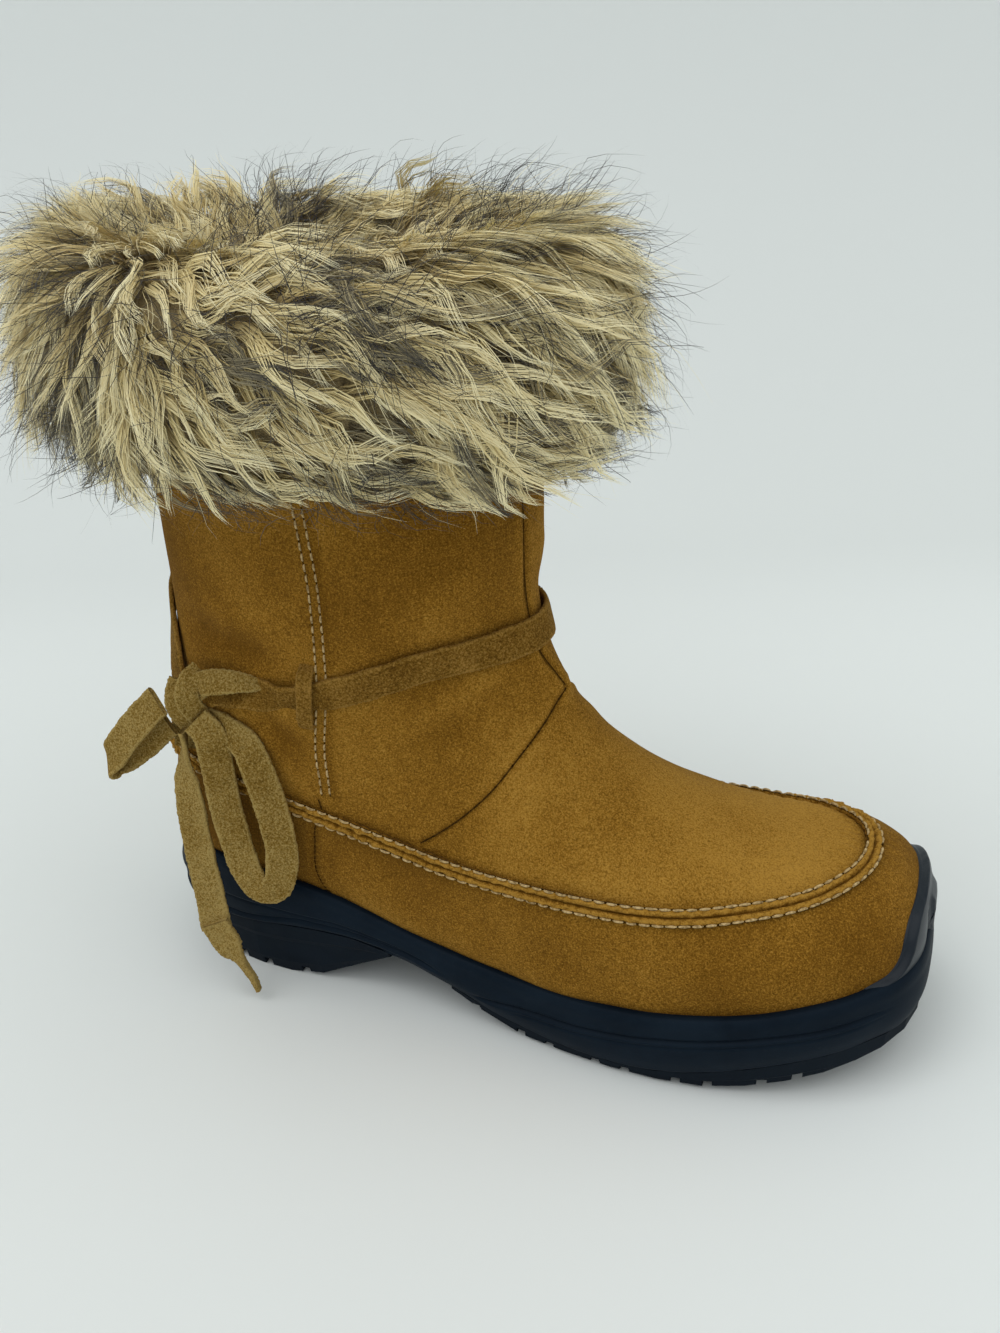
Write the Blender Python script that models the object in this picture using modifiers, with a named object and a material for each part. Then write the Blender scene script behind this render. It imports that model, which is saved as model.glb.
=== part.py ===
"""Right mukluk boot: a suede moccasin-toe upper on a moulded sole, with a fur cuff,
an ankle strap and a side bow.

Metres, +Z up, +X to the toe, +Y to the inner side of the foot. The origin is on the
floor under the middle of the heel.
"""

import math

import bmesh
import bpy
import numpy as np
from mathutils import Vector

# Sizes of the last and the upper, measured outside the suede
UPPER_LENGTH = 0.2865
BALL_WIDTH = 0.096
INSTEP_HEIGHT = 0.127
SHAFT_HEIGHT = 0.250
SHAFT_DEPTH = 0.136
SHAFT_WIDTH = 0.090
HEEL_SEAT = 0.040
BALL_PLACE = 0.66
HEEL_HEIGHT = 0.035
BALL_HEIGHT = 0.018
TOE_SPRING = 0.020
WALL = 0.003
CLEARANCE = 0.0003

# Sizes of the sole
RIM_WALL = 0.0028
SOLE_FIT = 0.0005
INSOLE_THICKNESS = 0.004
GROOVE_DEPTH = 0.0013
HEEL_STEP = 0.0016
HEEL_FLARE = 0.0035
RIM_MARGIN = 0.002
BUMPER_DROP = 0.00534
BUMPER_ROOT = 0.012
BUMPER_WALL = 0.0034
BUMPER_WIDTH = 0.052
TAB_DROP = 0.005
TAB_RISE = 0.0016
TAB_WIDTH = 0.019
SLOT_WIDTH = 0.0035
SLOT_DEPTH = 0.0035
SLOT_PITCH = 0.0145
SLOT_SLANT = 0.0025

# Sizes of the trim
SEAM_WIDTH = 0.0050
SEAM_RISE = 0.0026
SEAM_FIT = 0.0006
FUR_REACH = 0.027
FUR_DROP = 0.042
FUR_RISE = 0.024
FUR_INSET = 0.010
FUR_FIT = 0.00045
LOCK_LENGTH = 0.030
LOCK_WIDTH = 0.030
LOCK_THICKNESS = 0.010
LOCK_DROOP = 32
STRAP_WIDTH = 0.0118
STRAP_THICKNESS = 0.0022
STRAP_SLACK = 0.0035
KEEPER_WIDTH = 0.0055
KEEPER_LENGTH = 0.024
KEEPER_THICKNESS = 0.00176
KNOT_WIDTH = 0.0105
KNOT_HEIGHT = 0.018
KNOT_LEAN = -14
BOW_DROP = 0.075
TIP_THICKNESS = 0.00286
TIP_SETBACK = 0.00121

# Sections of the foot, from the toe to the heel. Each section runs from a top point to
# a base point. Places along the foot are shares of UPPER_LENGTH from the heel. Heights
# are counted -1 toe spring, 0 ball, 1 heel seat for the base, and 0 floor, 1 instep,
# 2 collar for the top. Widths are shares of BALL_WIDTH.
# place, top_x, top_height, base_x, base_height, outer, inner, centre, widest, crown, corner
FOOT_SECTIONS = [
    (0.000, 1.000, 0.394, 1.000, -1.00, 0.07, 0.07, 0.125, 0.50, 2.0, 2.0),
    (0.025, 0.995, 0.449, 0.997, -0.70, 0.20, 0.19, 0.120, 0.48, 2.1, 2.6),
    (0.060, 0.977, 0.500, 0.983, -0.48, 0.31, 0.29, 0.104, 0.44, 2.2, 3.6),
    (0.110, 0.939, 0.543, 0.949, -0.34, 0.405, 0.375, 0.089, 0.40, 2.2, 4.5),
    (0.180, 0.880, 0.575, 0.901, -0.20, 0.48, 0.44, 0.062, 0.38, 2.2, 5.0),
    (0.260, 0.796, 0.614, 0.820, -0.08, 0.52, 0.47, 0.026, 0.36, 2.1, 5.0),
    (0.350, 0.709, 0.685, 0.716, 0.00, 0.526, 0.474, 0.000, 0.34, 2.0, 5.0),
    (0.440, 0.635, 0.787, 0.586, 0.03, 0.50, 0.45, -0.010, 0.33, 1.95, 4.8),
    (0.520, 0.583, 0.898, 0.436, 0.26, 0.448, 0.406, -0.010, 0.34, 1.9, 4.4),
    (0.590, 0.551, 1.000, 0.262, 0.76, 0.406, 0.375, 0.000, 0.38, 1.9, 3.8),
    (0.650, 0.534, 1.106, 0.098, 1.00, 0.396, 0.375, 0.000, 0.42, 2.0, 3.2),
    (0.700, 0.525, 1.211, 0.011, 1.06, 0.406, 0.396, 0.000, 0.46, 2.0, 2.4),
]
# Sections of the shaft. Here top_x and base_x are shares of SHAFT_DEPTH from the
# shaft's middle, base heights run 1 heel seat to 2 collar and widths are shares of
# SHAFT_WIDTH.
SHAFT_SECTIONS = [
    (0.760, 0.529, 1.341, -0.555, 1.228, 0.456, 0.456, 0.000, 0.50, 2.1, 2.1),
    (0.830, 0.526, 1.512, -0.489, 1.433, 0.478, 0.478, 0.000, 0.50, 2.1, 2.1),
    (0.910, 0.526, 1.740, -0.467, 1.651, 0.500, 0.500, 0.000, 0.50, 2.1, 2.1),
    (1.000, 0.533, 2.000, -0.504, 2.000, 0.511, 0.511, 0.000, 0.50, 2.1, 2.1),
]
SHAFT_MIDDLE = 0.271

# Lines along the sole's side, heel to toe. Places are shares of the sole's length and
# heights are shares of HEEL_HEIGHT. The joint is the top of the outsole.
# place, rim, groove, joint, ledge, tread
SOLE_LINES = [
    (0.000, 1.33, 0.87, 0.57, 0.48, 0.36),
    (0.045, 1.36, 0.87, 0.58, 0.46, 0.10),
    (0.095, 1.38, 0.86, 0.60, 0.46, 0.00),
    (0.145, 1.36, 0.84, 0.64, 0.47, 0.00),
    (0.220, 1.29, 0.83, 0.71, 0.50, 0.00),
    (0.265, 1.22, 0.81, 0.72, 0.53, 0.11),
    (0.315, 1.10, 0.78, 0.69, 0.56, 0.34),
    (0.360, 1.00, 0.74, 0.62, 0.58, 0.53),
    (0.420, 0.89, 0.66, 0.51, 0.48, 0.44),
    (0.465, 0.83, 0.55, 0.39, 0.32, 0.27),
    (0.505, 0.79, 0.40, 0.28, 0.20, 0.10),
    (0.540, 0.75, 0.35, 0.20, 0.12, 0.00),
    (0.640, 0.77, 0.39, 0.14, 0.08, 0.00),
    (0.710, 0.82, 0.48, 0.17, 0.09, 0.00),
    (0.770, 0.89, 0.57, 0.26, 0.13, 0.01),
    (0.825, 0.96, 0.66, 0.37, 0.20, 0.08),
    (0.885, 1.06, 0.73, 0.48, 0.29, 0.19),
    (0.940, 1.12, 0.77, 0.55, 0.37, 0.29),
    (1.000, 1.20, 0.83, 0.58, 0.46, 0.42),
]
HEEL_POD_END = 0.355
FOREFOOT_START = 0.445

# Ledges down the sole's side: out is a share of RIM_WALL beyond the rim.
# The groove column is the share of GROOVE_DEPTH that is cut.
# level (0 rim, 1 groove, 2 joint), out, groove
MIDSOLE_PROFILE = [
    (0.00, 0.15, 0),
    (0.10, 0.45, 0),
    (0.55, 0.85, 0),
    (0.90, 0.95, 0),
    (0.95, 0.95, 1),
    (1.06, 0.95, 1),
    (1.12, 1.05, 0),
    (1.75, 0.85, 0),
    (2.00, 0.30, 0),
]
# level (0 joint, 1 ledge, 2 tread), out as a share of HEEL_STEP
OUTSOLE_PROFILE = [(0.0, 0.70), (0.9, 0.55), (1.1, 0.05), (1.7, -0.15), (2.0, -0.90)]
# Where the groove fades in and out and the heel's flare ends, along the sole
GROOVE_FADES = [(0.42, 0), (0.54, 1), (0.96, 1), (0.99, 0)]
FLARE_END = 0.12
# Where the bumper ends on the toe's sides, share of the foot, and how far a slot's
# cutter reaches to each side, share of BALL_WIDTH
BUMPER_START = 0.9
SLOT_REACH = 0.75

# Toe bumper seen from the front: across is a share of its half width, and up runs from
# 0 under the rim to 1 at its top.
# across, up
BUMPER_SHAPE = [
    (-1.25, 0.00),
    (-1.15, 0.35),
    (-1.00, 0.50),
    (-0.82, 0.87),
    (-0.45, 1.00),
    (0.45, 1.00),
    (0.82, 0.87),
    (1.00, 0.50),
    (1.15, 0.35),
    (1.25, 0.00),
]

# Height of the raised seam: place along the foot, share of INSTEP_HEIGHT
SEAM_HEIGHTS = [
    (-0.05, 0.705),
    (0.10, 0.700),
    (0.18, 0.677),
    (0.25, 0.632),
    (0.33, 0.583),
    (0.44, 0.532),
    (0.52, 0.518),
    (0.62, 0.510),
    (0.74, 0.504),
    (0.80, 0.512),
    (0.86, 0.523),
    (0.90, 0.534),
    (0.94, 0.546),
]

# Section of the fur cuff's body: out is a share of FUR_REACH, or of FUR_INSET inside
# the collar, and up is a share of FUR_RISE above the collar or FUR_DROP below it.
FUR_SECTION = [
    (0.30, -1.06),
    (0.72, -0.92),
    (0.97, -0.55),
    (1.00, -0.05),
    (0.90, 0.42),
    (0.62, 0.84),
    (0.25, 1.00),
    (-0.35, 0.86),
    (-0.90, 0.50),
    (-0.75, 0.12),
]
# Waves round the cuff's body: count, share of its reach, phase
FUR_WAVES = [(5, 0.07, 0.6), (11, 0.05, 0.0)]
# Share of FUR_INSET that laps over the collar's edge
FUR_LAP = 0.75
# Rows of locks, lowest first: out and up as in the section above, tilt in degrees above
# level, share of LOCK_LENGTH, sweep to the side in degrees
# out, up, tilt, length, sweep
FUR_ROWS = [
    (0.55, -1.02, -70, 0.80, 22),
    (0.94, -0.68, -52, 1.05, 26),
    (1.00, -0.14, -28, 1.12, 30),
    (0.88, 0.46, 4, 1.05, 30),
    (0.42, 0.94, 44, 0.80, 24),
]

# A lock starts at these shares of its row's out and up, bends at a share of its length
# and is thinner there. The notches between locks are shorter and thinner.
LOCK_ROOT = (0.78, 0.86)
LOCK_BEND = 0.6
LOCK_TAPER = 0.7
NOTCH_LENGTH = 0.42
NOTCH_THICKNESS = 0.5

# Height of the ankle strap: angle round the boot from the front, outer side first,
# share of the way from instep to collar, share of STRAP_SLACK off the upper
STRAP_ROUTE = [
    (0, 0.155, 0.32),
    (30, 0.142, 0.28),
    (55, 0.112, 0.16),
    (75, 0.050, 0.14),
    (90, 0.015, 0.22),
    (105, 0.015, 0.50),
    (117, -0.005, 0.80),
    (128, -0.062, 1.00),
    (137, -0.020, 0.85),
    (148, 0.090, 0.60),
    (162, 0.165, 0.40),
    (182, 0.185, 0.30),
    (205, 0.175, 0.25),
    (240, 0.155, 0.18),
    (285, 0.145, 0.18),
    (330, 0.155, 0.28),
    (360, 0.155, 0.32),
]
KEEPER_ANGLE = 86
KNOT_ANGLE = 128
KNOT_OFFSET = 0.0028
KNOT_SPREAD = 8.5

# Ribbons of the bow as folds from the knot's middle: forward, outward and down are
# shares of BOW_DROP, and turn is the face's angle about the ribbon, 0 facing outward.
# forward, outward, down, turn
LOOP_FOLDS = [
    (0.10, 0.055, 0.06, -10),
    (0.17, 0.065, 0.13, -14),
    (0.185, 0.065, 0.28, -16),
    (0.215, 0.085, 0.54, -14),
    (0.26, 0.10, 0.77, -12),
    (0.295, 0.105, 0.875, -6),
    (0.345, 0.105, 0.945, 0),
    (0.41, 0.10, 0.945, 6),
    (0.46, 0.095, 0.875, 10),
    (0.485, 0.085, 0.70, 12),
    (0.45, 0.075, 0.46, 14),
    (0.40, 0.07, 0.26, 12),
    (0.33, 0.045, 0.15, 8),
    (0.23, 0.02, 0.11, 0),
    (0.13, -0.01, 0.10, 0),
]
SIDE_LOOP_FOLDS = [
    (-0.097, 0.045, -0.01, 20),
    (-0.18, 0.045, 0.07, 20),
    (-0.29, 0.055, 0.19, 18),
    (-0.39, 0.06, 0.31, 20),
    (-0.445, 0.045, 0.39, 60),
    (-0.43, 0.005, 0.42, 110),
    (-0.36, -0.03, 0.36, 155),
    (-0.25, -0.03, 0.27, 160),
    (-0.12, -0.035, 0.15, 165),
]
TAIL_FOLDS = [
    (0.01, 0.03, 0.135, 80),
    (0.01, 0.06, 0.30, 50),
    (0.01, 0.08, 0.45, 14),
    (0.035, 0.11, 0.75, 4),
    (0.075, 0.14, 1.05, 0),
    (0.095, 0.16, 1.22, 0),
]
SHORT_TAIL_FOLDS = [
    (-0.055, -0.066, 0.13, 0),
    (-0.06, -0.072, 0.21, 0),
    (-0.07, -0.072, 0.30, 0),
]
# The tail's folded end and thin tip, from the last fold: forward and down are shares of
# BOW_DROP and width is a share of STRAP_WIDTH.
# forward, down, width
TIP_FOLDS = [
    (0.000, -0.060, 1.02),
    (0.030, 0.000, 1.05),
    (0.070, 0.080, 0.95),
    (0.115, 0.140, 0.42),
    (0.170, 0.240, 0.24),
    (0.200, 0.325, 0.16),
]

HEEL_BACK = -HEEL_SEAT
SOLE_BACK = HEEL_BACK - RIM_WALL
SOLE_LENGTH = UPPER_LENGTH + 2 * RIM_WALL
SECTION_COUNT = 28
COLUMN_COUNT = 28
SOLE_STATIONS = 26
BOX_FACES = [(0, 3, 2, 1), (4, 5, 6, 7), (0, 1, 5, 4), (1, 2, 6, 5), (2, 3, 7, 6), (3, 0, 4, 7)]


def new_material(name, colour, roughness, metallic=0.0):
    material = bpy.data.materials.new(name)
    material.use_nodes = True
    shader = material.node_tree.nodes["Principled BSDF"]
    shader.inputs["Base Color"].default_value = (*colour, 1.0)
    shader.inputs["Roughness"].default_value = roughness
    shader.inputs["Metallic"].default_value = metallic
    return material


def new_collection(name):
    collection = bpy.data.collections.new(name)
    bpy.context.scene.collection.children.link(collection)
    return collection


def new_object(name, vertices, faces, collection, material=None):
    mesh = bpy.data.meshes.new(name)
    mesh.from_pydata([tuple(map(float, v)) for v in vertices], [], faces)
    turned = bmesh.new()
    turned.from_mesh(mesh)
    bmesh.ops.recalc_face_normals(turned, faces=turned.faces)
    turned.to_mesh(mesh)
    turned.free()
    obj = bpy.data.objects.new(name, mesh)
    collection.objects.link(obj)
    if material:
        mesh.materials.append(material)
        mesh.shade_smooth()
        mesh.set_sharp_from_angle(angle=math.radians(40))
    return obj


def as_cutter(obj):
    obj.hide_render = True
    obj.display_type = "WIRE"
    return obj


def add_boolean(obj, other, operation):
    modifier = obj.modifiers.new(f"{operation.title()} {other.name}", "BOOLEAN")
    modifier.operation = operation
    modifier.object = other
    modifier.solver = "EXACT"


def smooth_rows(rows, places):
    """Reads a table, keyed by its first column, with a smooth curve through its rows."""
    table = np.array(rows, float)
    keys, values = table[:, 0], table[:, 1:]
    steps = np.diff(keys)[:, None]
    slopes = np.diff(values, axis=0) / steps
    inner = (slopes[:-1] * steps[1:] + slopes[1:] * steps[:-1]) / (steps[1:] + steps[:-1])
    tangents = np.vstack([slopes[:1], inner, slopes[-1:]])
    places = np.clip(np.atleast_1d(places), keys[0], keys[-1])
    row = np.clip(np.searchsorted(keys, places, side="right") - 1, 0, len(keys) - 2)
    step = (keys[row + 1] - keys[row])[:, None]
    u = (places - keys[row])[:, None] / step
    return (
        values[row] * (1 + 2 * u) * (1 - u) ** 2
        + tangents[row] * step * u * (1 - u) ** 2
        + values[row + 1] * u * u * (3 - 2 * u)
        + tangents[row + 1] * step * u * u * (u - 1)
    )


def base_height(level):
    heights = [BALL_HEIGHT + TOE_SPRING, BALL_HEIGHT, HEEL_HEIGHT, SHAFT_HEIGHT]
    return float(np.interp(level, [-1, 0, 1, 2], heights))


def top_height(level):
    return float(np.interp(level, [0, 1, 2], [0, INSTEP_HEIGHT, SHAFT_HEIGHT]))


def section_rows():
    """The tables of sections in metres."""
    rows = []
    for row in FOOT_SECTIONS:
        place, top_x, top_z, base_x, base_z, outer, inner, centre, *shape = row
        top = (HEEL_BACK + top_x * UPPER_LENGTH, top_height(top_z))
        base = (HEEL_BACK + base_x * UPPER_LENGTH, base_height(base_z))
        widths = (outer * BALL_WIDTH, inner * BALL_WIDTH, centre * BALL_WIDTH)
        rows.append((place, *top, *base, *widths, *shape))
    middle = HEEL_BACK + SHAFT_MIDDLE * UPPER_LENGTH
    for row in SHAFT_SECTIONS:
        place, top_x, top_z, base_x, base_z, outer, inner, centre, *shape = row
        top = (middle + top_x * SHAFT_DEPTH, top_height(top_z))
        base = (middle + base_x * SHAFT_DEPTH, base_height(base_z))
        widths = (outer * SHAFT_WIDTH, inner * SHAFT_WIDTH, centre * SHAFT_WIDTH)
        rows.append((place, *top, *base, *widths, *shape))
    return rows


SECTIONS = section_rows()


def form_points(places, angles):
    """Points of the upper's outer form: a place runs from toe 0 to collar 1, and an
    angle goes round a section from its top over the outer side."""
    read = smooth_rows(SECTIONS, places)
    columns = [read[:, i][:, None] for i in range(read.shape[1])]
    top_x, top_z, base_x, base_z, outer, inner, centre, widest, crown, corner = columns
    angles = np.atleast_1d(angles)[None, :]
    upward, sideways = np.cos(angles), np.sin(angles)
    power = 2 / np.where(upward >= 0, crown, corner)
    rise = np.abs(upward) ** power
    height = np.where(upward >= 0, widest + (1 - widest) * rise, widest * (1 - rise))
    reach = np.abs(sideways) ** power
    y = centre + np.where(sideways >= 0, -outer, inner) * reach
    x = base_x + (top_x - base_x) * height
    z = base_z + (top_z - base_z) * height
    return np.stack(np.broadcast_arrays(x, y, z), -1)


def form_grid(places, angles, grow=0.0):
    """A grid of points on the form, moved out along its normals by grow."""
    points = form_points(places, angles)
    if grow == 0.0:
        return points
    small = 1e-4
    before = form_points(np.maximum(places - small, 0), angles)
    after = form_points(np.minimum(places + small, 1), angles)
    along = after - before
    around = form_points(places, angles + small) - form_points(places, angles - small)
    normals = np.cross(along, around)
    normals /= np.linalg.norm(normals, axis=-1, keepdims=True) + 1e-12
    return points + normals * grow


def section_places():
    """Places of the modelled sections, closer together at the toe."""
    steps = np.linspace(0, 1, SECTION_COUNT)
    return 0.75 * steps + 0.25 * steps**2.4


def section_angles():
    return np.linspace(0, 2 * math.pi, COLUMN_COUNT, endpoint=False)


def tube_faces(rings, columns):
    faces = []
    for i in range(rings - 1):
        for j in range(columns):
            k = (j + 1) % columns
            low, high = i * columns, (i + 1) * columns
            faces.append((low + j, low + k, high + k, high + j))
    return faces


def closed_form(name, grow, collection, lift=0.0):
    """The upper's form as one closed body, grown by grow and lengthened upward."""
    grid = form_grid(section_places(), section_angles(), grow)
    rings = list(grid)
    if lift:
        rings.append(grid[-1] + np.array([0, 0, lift]))
    count = grid.shape[1]
    faces = tube_faces(len(rings), count)
    faces.append(tuple(range(count)))
    faces.append(tuple((len(rings) - 1) * count + j for j in range(count)))
    return new_object(name, np.concatenate(rings), faces, collection)


def crossing(values):
    """Where a row of values first rises through zero, as a fractional index."""
    rising = np.where((values[:-1] < 0) & (values[1:] >= 0))[0]
    if len(rising) == 0:
        return None
    i = rising[0]
    return i + values[i] / (values[i] - values[i + 1])


def level_path(height_at, turn_in=0.16, turn_out=0.62):
    """The loop where the form meets a height that varies along the foot, as an outer
    and an inner run of (place, angle) from toe to heel. Between turn_in and turn_out
    each section is crossed once, and beyond them each column is."""
    runs = []
    for sign in (1, -1):
        angles = sign * np.linspace(math.pi, 0, 120)

        def angle_at(place):
            points = form_points(np.array([place]), angles)[0]
            found = crossing(points[:, 2] - height_at(points[:, 0]))
            return None if found is None else np.interp(found, range(len(angles)), angles)

        def place_at(angle, places):
            points = form_points(places, np.array([angle]))[:, 0]
            found = crossing(points[:, 2] - height_at(points[:, 0]))
            return None if found is None else np.interp(found, range(len(places)), places)

        start = angle_at(0.0)
        run = []
        if start is None:
            for angle in np.linspace(0, angle_at(turn_in), 24)[:-1]:
                run.append((place_at(angle, np.linspace(0, turn_in, 60)), angle))
        first = turn_in if start is None else 0.0
        for place in np.linspace(first, turn_out, 110):
            run.append((place, angle_at(place)))
        for angle in np.linspace(run[-1][1], sign * math.pi, 40)[1:]:
            run.append((place_at(angle, np.linspace(turn_out - 0.01, 0.9, 120)), angle))
        runs.append(np.array(run, float))
    return runs


def path_points(runs, grow=0.0):
    return [
        np.array([form_grid(np.array([p]), np.array([a]), grow)[0, 0] for p, a in run])
        for run in runs
    ]


def line_reader(column):
    """A height along the sole's side, as a function of X in metres."""
    table = np.array(SOLE_LINES)

    def height(x):
        places = (np.asarray(x, float) - SOLE_BACK) / SOLE_LENGTH
        shape = np.shape(places)
        read = smooth_rows(table[:, [0, column]], np.ravel(places))[:, 0].reshape(shape)
        return np.maximum(read, 0) * HEEL_HEIGHT

    return height


rim_height, groove_height, joint_height, ledge_height, tread_height = map(line_reader, range(1, 6))


def seam_height(x):
    places = (np.asarray(x, float) - HEEL_BACK) / UPPER_LENGTH
    return smooth_rows(SEAM_HEIGHTS, np.ravel(places))[:, 0].reshape(np.shape(places)) * INSTEP_HEIGHT


def bed_height(x):
    """Height of the upper's base, level under the heel."""
    rows = [row for row in SECTIONS if row[0] <= 0.65][::-1]
    return np.interp(x, [row[3] for row in rows], [row[4] for row in rows])


def sole_outline():
    """Half outlines of the rim at the same places along the foot, heel to toe, as
    (x, outer y, inner y)."""
    outer, inner = path_points(level_path(lambda x: rim_height(x) - RIM_MARGIN), CLEARANCE)
    back = min(outer[:, 0].min(), inner[:, 0].min())
    front = max(outer[:, 0].max(), inner[:, 0].max())
    turns = np.linspace(0, math.pi, SOLE_STATIONS)
    x = back + (front - back) * (1 - np.cos(turns)) / 2
    rows = []
    for side in (outer, inner):
        run = side[::-1]
        keep = np.maximum.accumulate(run[:, 0]) == run[:, 0]
        rows.append(np.interp(x, run[keep, 0], run[keep, 1]))
    return np.stack([x, *rows], 1)


def loop_of(outline):
    """One loop from an outline: outer side heel to toe, then inner side back."""
    outer = outline[:, [0, 1]]
    inner = outline[::-1][:, [0, 2]]
    return np.concatenate([outer, inner])


def grown_loop(loop, distance):
    """A plan loop moved outward by a distance, one value or one for each point."""
    before = loop - np.roll(loop, 1, axis=0)
    after = np.roll(loop, -1, axis=0) - loop
    along = before / (np.linalg.norm(before, axis=1, keepdims=True) + 1e-9)
    along += after / (np.linalg.norm(after, axis=1, keepdims=True) + 1e-9)
    along /= np.linalg.norm(along, axis=1, keepdims=True) + 1e-9
    outward = np.stack([along[:, 1], -along[:, 0]], 1)
    return loop + outward * np.reshape(distance, (-1, 1))


def ladder_stack(name, levels, collection, material=None):
    """A body of loops, top to bottom, closed above and below by rungs across the loop."""
    count = len(levels[0])
    half = count // 2
    faces = tube_faces(len(levels), count)
    last = (len(levels) - 1) * count
    for base in (0, last):
        for i in range(half - 1):
            faces.append((base + i, base + i + 1, base + count - 2 - i, base + count - 1 - i))
    return new_object(name, np.concatenate(levels), faces, collection, material)


def with_heights(loop, heights):
    return np.column_stack([loop, heights])


def sweep(name, points, normals, width, thickness, collection, material, closed=False):
    """A flat ribbon along a route. Normals are its face's directions, and width and
    thickness are one value or one for each point."""
    points, normals = np.asarray(points, float), np.asarray(normals, float)
    count = len(points)
    if closed:
        along = np.roll(points, -1, axis=0) - np.roll(points, 1, axis=0)
    else:
        along = np.gradient(points, axis=0)
    along /= np.linalg.norm(along, axis=1, keepdims=True)
    across = np.cross(along, normals)
    across /= np.linalg.norm(across, axis=1, keepdims=True)
    normals = np.cross(across, along)
    half = np.reshape(np.broadcast_to(np.asarray(width, float) / 2, count), (-1, 1))
    depth = np.reshape(np.broadcast_to(np.asarray(thickness, float) / 2, count), (-1, 1))
    corners = [(-1, -1), (1, -1), (1, 1), (-1, 1)]
    rings = np.stack([points + across * half * a + normals * depth * b for a, b in corners], 1)
    faces = tube_faces(count, 4)
    if closed:
        end = (count - 1) * 4
        faces += [(end + j, end + (j + 1) % 4, (j + 1) % 4, j) for j in range(4)]
    else:
        faces += [(0, 1, 2, 3), tuple((count - 1) * 4 + j for j in range(4))]
    return new_object(name, rings.reshape(-1, 3), faces, collection, material)


def evenly_spaced(values, points, count, closed=False):
    """Rows of values read at even steps of length along points."""
    if closed:
        values = np.vstack([values, values[:1]])
        points = np.vstack([points, points[:1]])
    steps = np.linalg.norm(np.diff(points, axis=0), axis=1)
    length = np.concatenate([[0], np.cumsum(steps)])
    at = np.linspace(0, length[-1], count + 1)[:-1] if closed else np.linspace(0, length[-1], count)
    return np.stack([np.interp(at, length, column) for column in values.T], 1)


def make_cutting_bed(name, lift, collection):
    """Everything below the upper's base raised by lift."""
    x = np.linspace(HEEL_BACK - 2 * HEEL_SEAT, HEEL_BACK + 1.2 * UPPER_LENGTH, 40)
    top = bed_height(x) + lift
    levels = []
    for z in (top, -BALL_HEIGHT + 0 * x):
        outer = np.column_stack([x, -BALL_WIDTH + 0 * x, z])
        inner = np.column_stack([x, BALL_WIDTH + 0 * x, z])[::-1]
        levels.append(np.concatenate([outer, inner]))
    return as_cutter(ladder_stack(name, levels, collection))


def make_upper(parts, cutters, material):
    """The suede upper: one wall from toe to collar, open above and below."""
    grid = form_grid(section_places(), section_angles())
    rings, columns = grid.shape[:2]
    vertices = list(grid.reshape(-1, 3)) + [grid[0].mean(axis=0)]
    faces = tube_faces(rings, columns)
    tip = rings * columns
    faces += [(tip, (j + 1) % columns, j) for j in range(columns)]
    upper = new_object("upper", vertices, faces, parts, material)
    shell = upper.modifiers.new("Wall", "SOLIDIFY")
    shell.thickness = WALL
    shell.offset = -1
    shell.use_even_offset = True
    bed = make_cutting_bed("upper_base_cutter", INSOLE_THICKNESS + CLEARANCE, cutters)
    add_boolean(upper, bed, "DIFFERENCE")
    return upper


def make_insole(parts, cutters, material):
    insole = closed_form("insole", 0.0, parts)
    insole.data.materials.append(material)
    bed = make_cutting_bed("insole_cutter", INSOLE_THICKNESS, cutters)
    add_boolean(insole, bed, "INTERSECT")
    return insole


def make_midsole(parts, cutters, outline, material):
    """The moulded side of the sole with its rim, groove, heel cup and toe bumper."""
    loop = loop_of(outline)
    x = loop[:, 0]
    lines = [rim_height(x), groove_height(x), joint_height(x) + CLEARANCE]
    places = (x - SOLE_BACK) / SOLE_LENGTH
    carved = np.interp(places, *np.transpose(GROOVE_FADES))
    levels = []
    for level, out, groove in MIDSOLE_PROFILE:
        whole = min(int(level), 1)
        z = lines[whole] + (lines[whole + 1] - lines[whole]) * (level - whole)
        distance = RIM_WALL * (1 + out) + heel_flare(places) * min(level, 1)
        ring = grown_loop(loop, distance - groove * GROOVE_DEPTH * carved)
        levels.append(with_heights(ring, z))
    midsole = ladder_stack("midsole", levels, parts, material)
    bumper_top = float(seam_height(HEEL_BACK + UPPER_LENGTH)) - BUMPER_DROP
    for name, wall, top, width in (
        ("bumper", BUMPER_WALL, bumper_top, BUMPER_WIDTH),
        ("bumper_tab", BUMPER_WALL + TAB_RISE, bumper_top - TAB_DROP, TAB_WIDTH),
    ):
        block = as_cutter(make_bumper_block(name, wall, top, width, cutters))
        add_boolean(midsole, block, "UNION")
    cup = as_cutter(closed_form("cup_cutter", SOLE_FIT, cutters))
    add_boolean(midsole, cup, "DIFFERENCE")
    return midsole


def heel_flare(places):
    return HEEL_FLARE * np.clip(1 - places / FLARE_END, 0, 1)


def make_bumper_block(name, wall, top, width, cutters):
    """The part of a grown form in front of the toe that the bumper's shape covers."""
    block = closed_form(f"{name}_block", wall, cutters)
    tip_y = FOOT_SECTIONS[0][7] * BALL_WIDTH
    low = float(rim_height(HEEL_BACK + UPPER_LENGTH)) - BUMPER_ROOT
    vertices = []
    for place in (BUMPER_START, 2 - BUMPER_START):
        for across, up in BUMPER_SHAPE:
            y, z = tip_y + across * width / 2, low + (top - low) * up
            vertices.append((HEEL_BACK + place * UPPER_LENGTH, y, z))
    count = len(BUMPER_SHAPE)
    faces = tube_faces(2, count) + [tuple(range(count)), tuple(range(count, 2 * count))]
    prism = as_cutter(new_object(f"{name}_prism", vertices, faces, cutters))
    add_boolean(block, prism, "INTERSECT")
    return block


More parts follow.
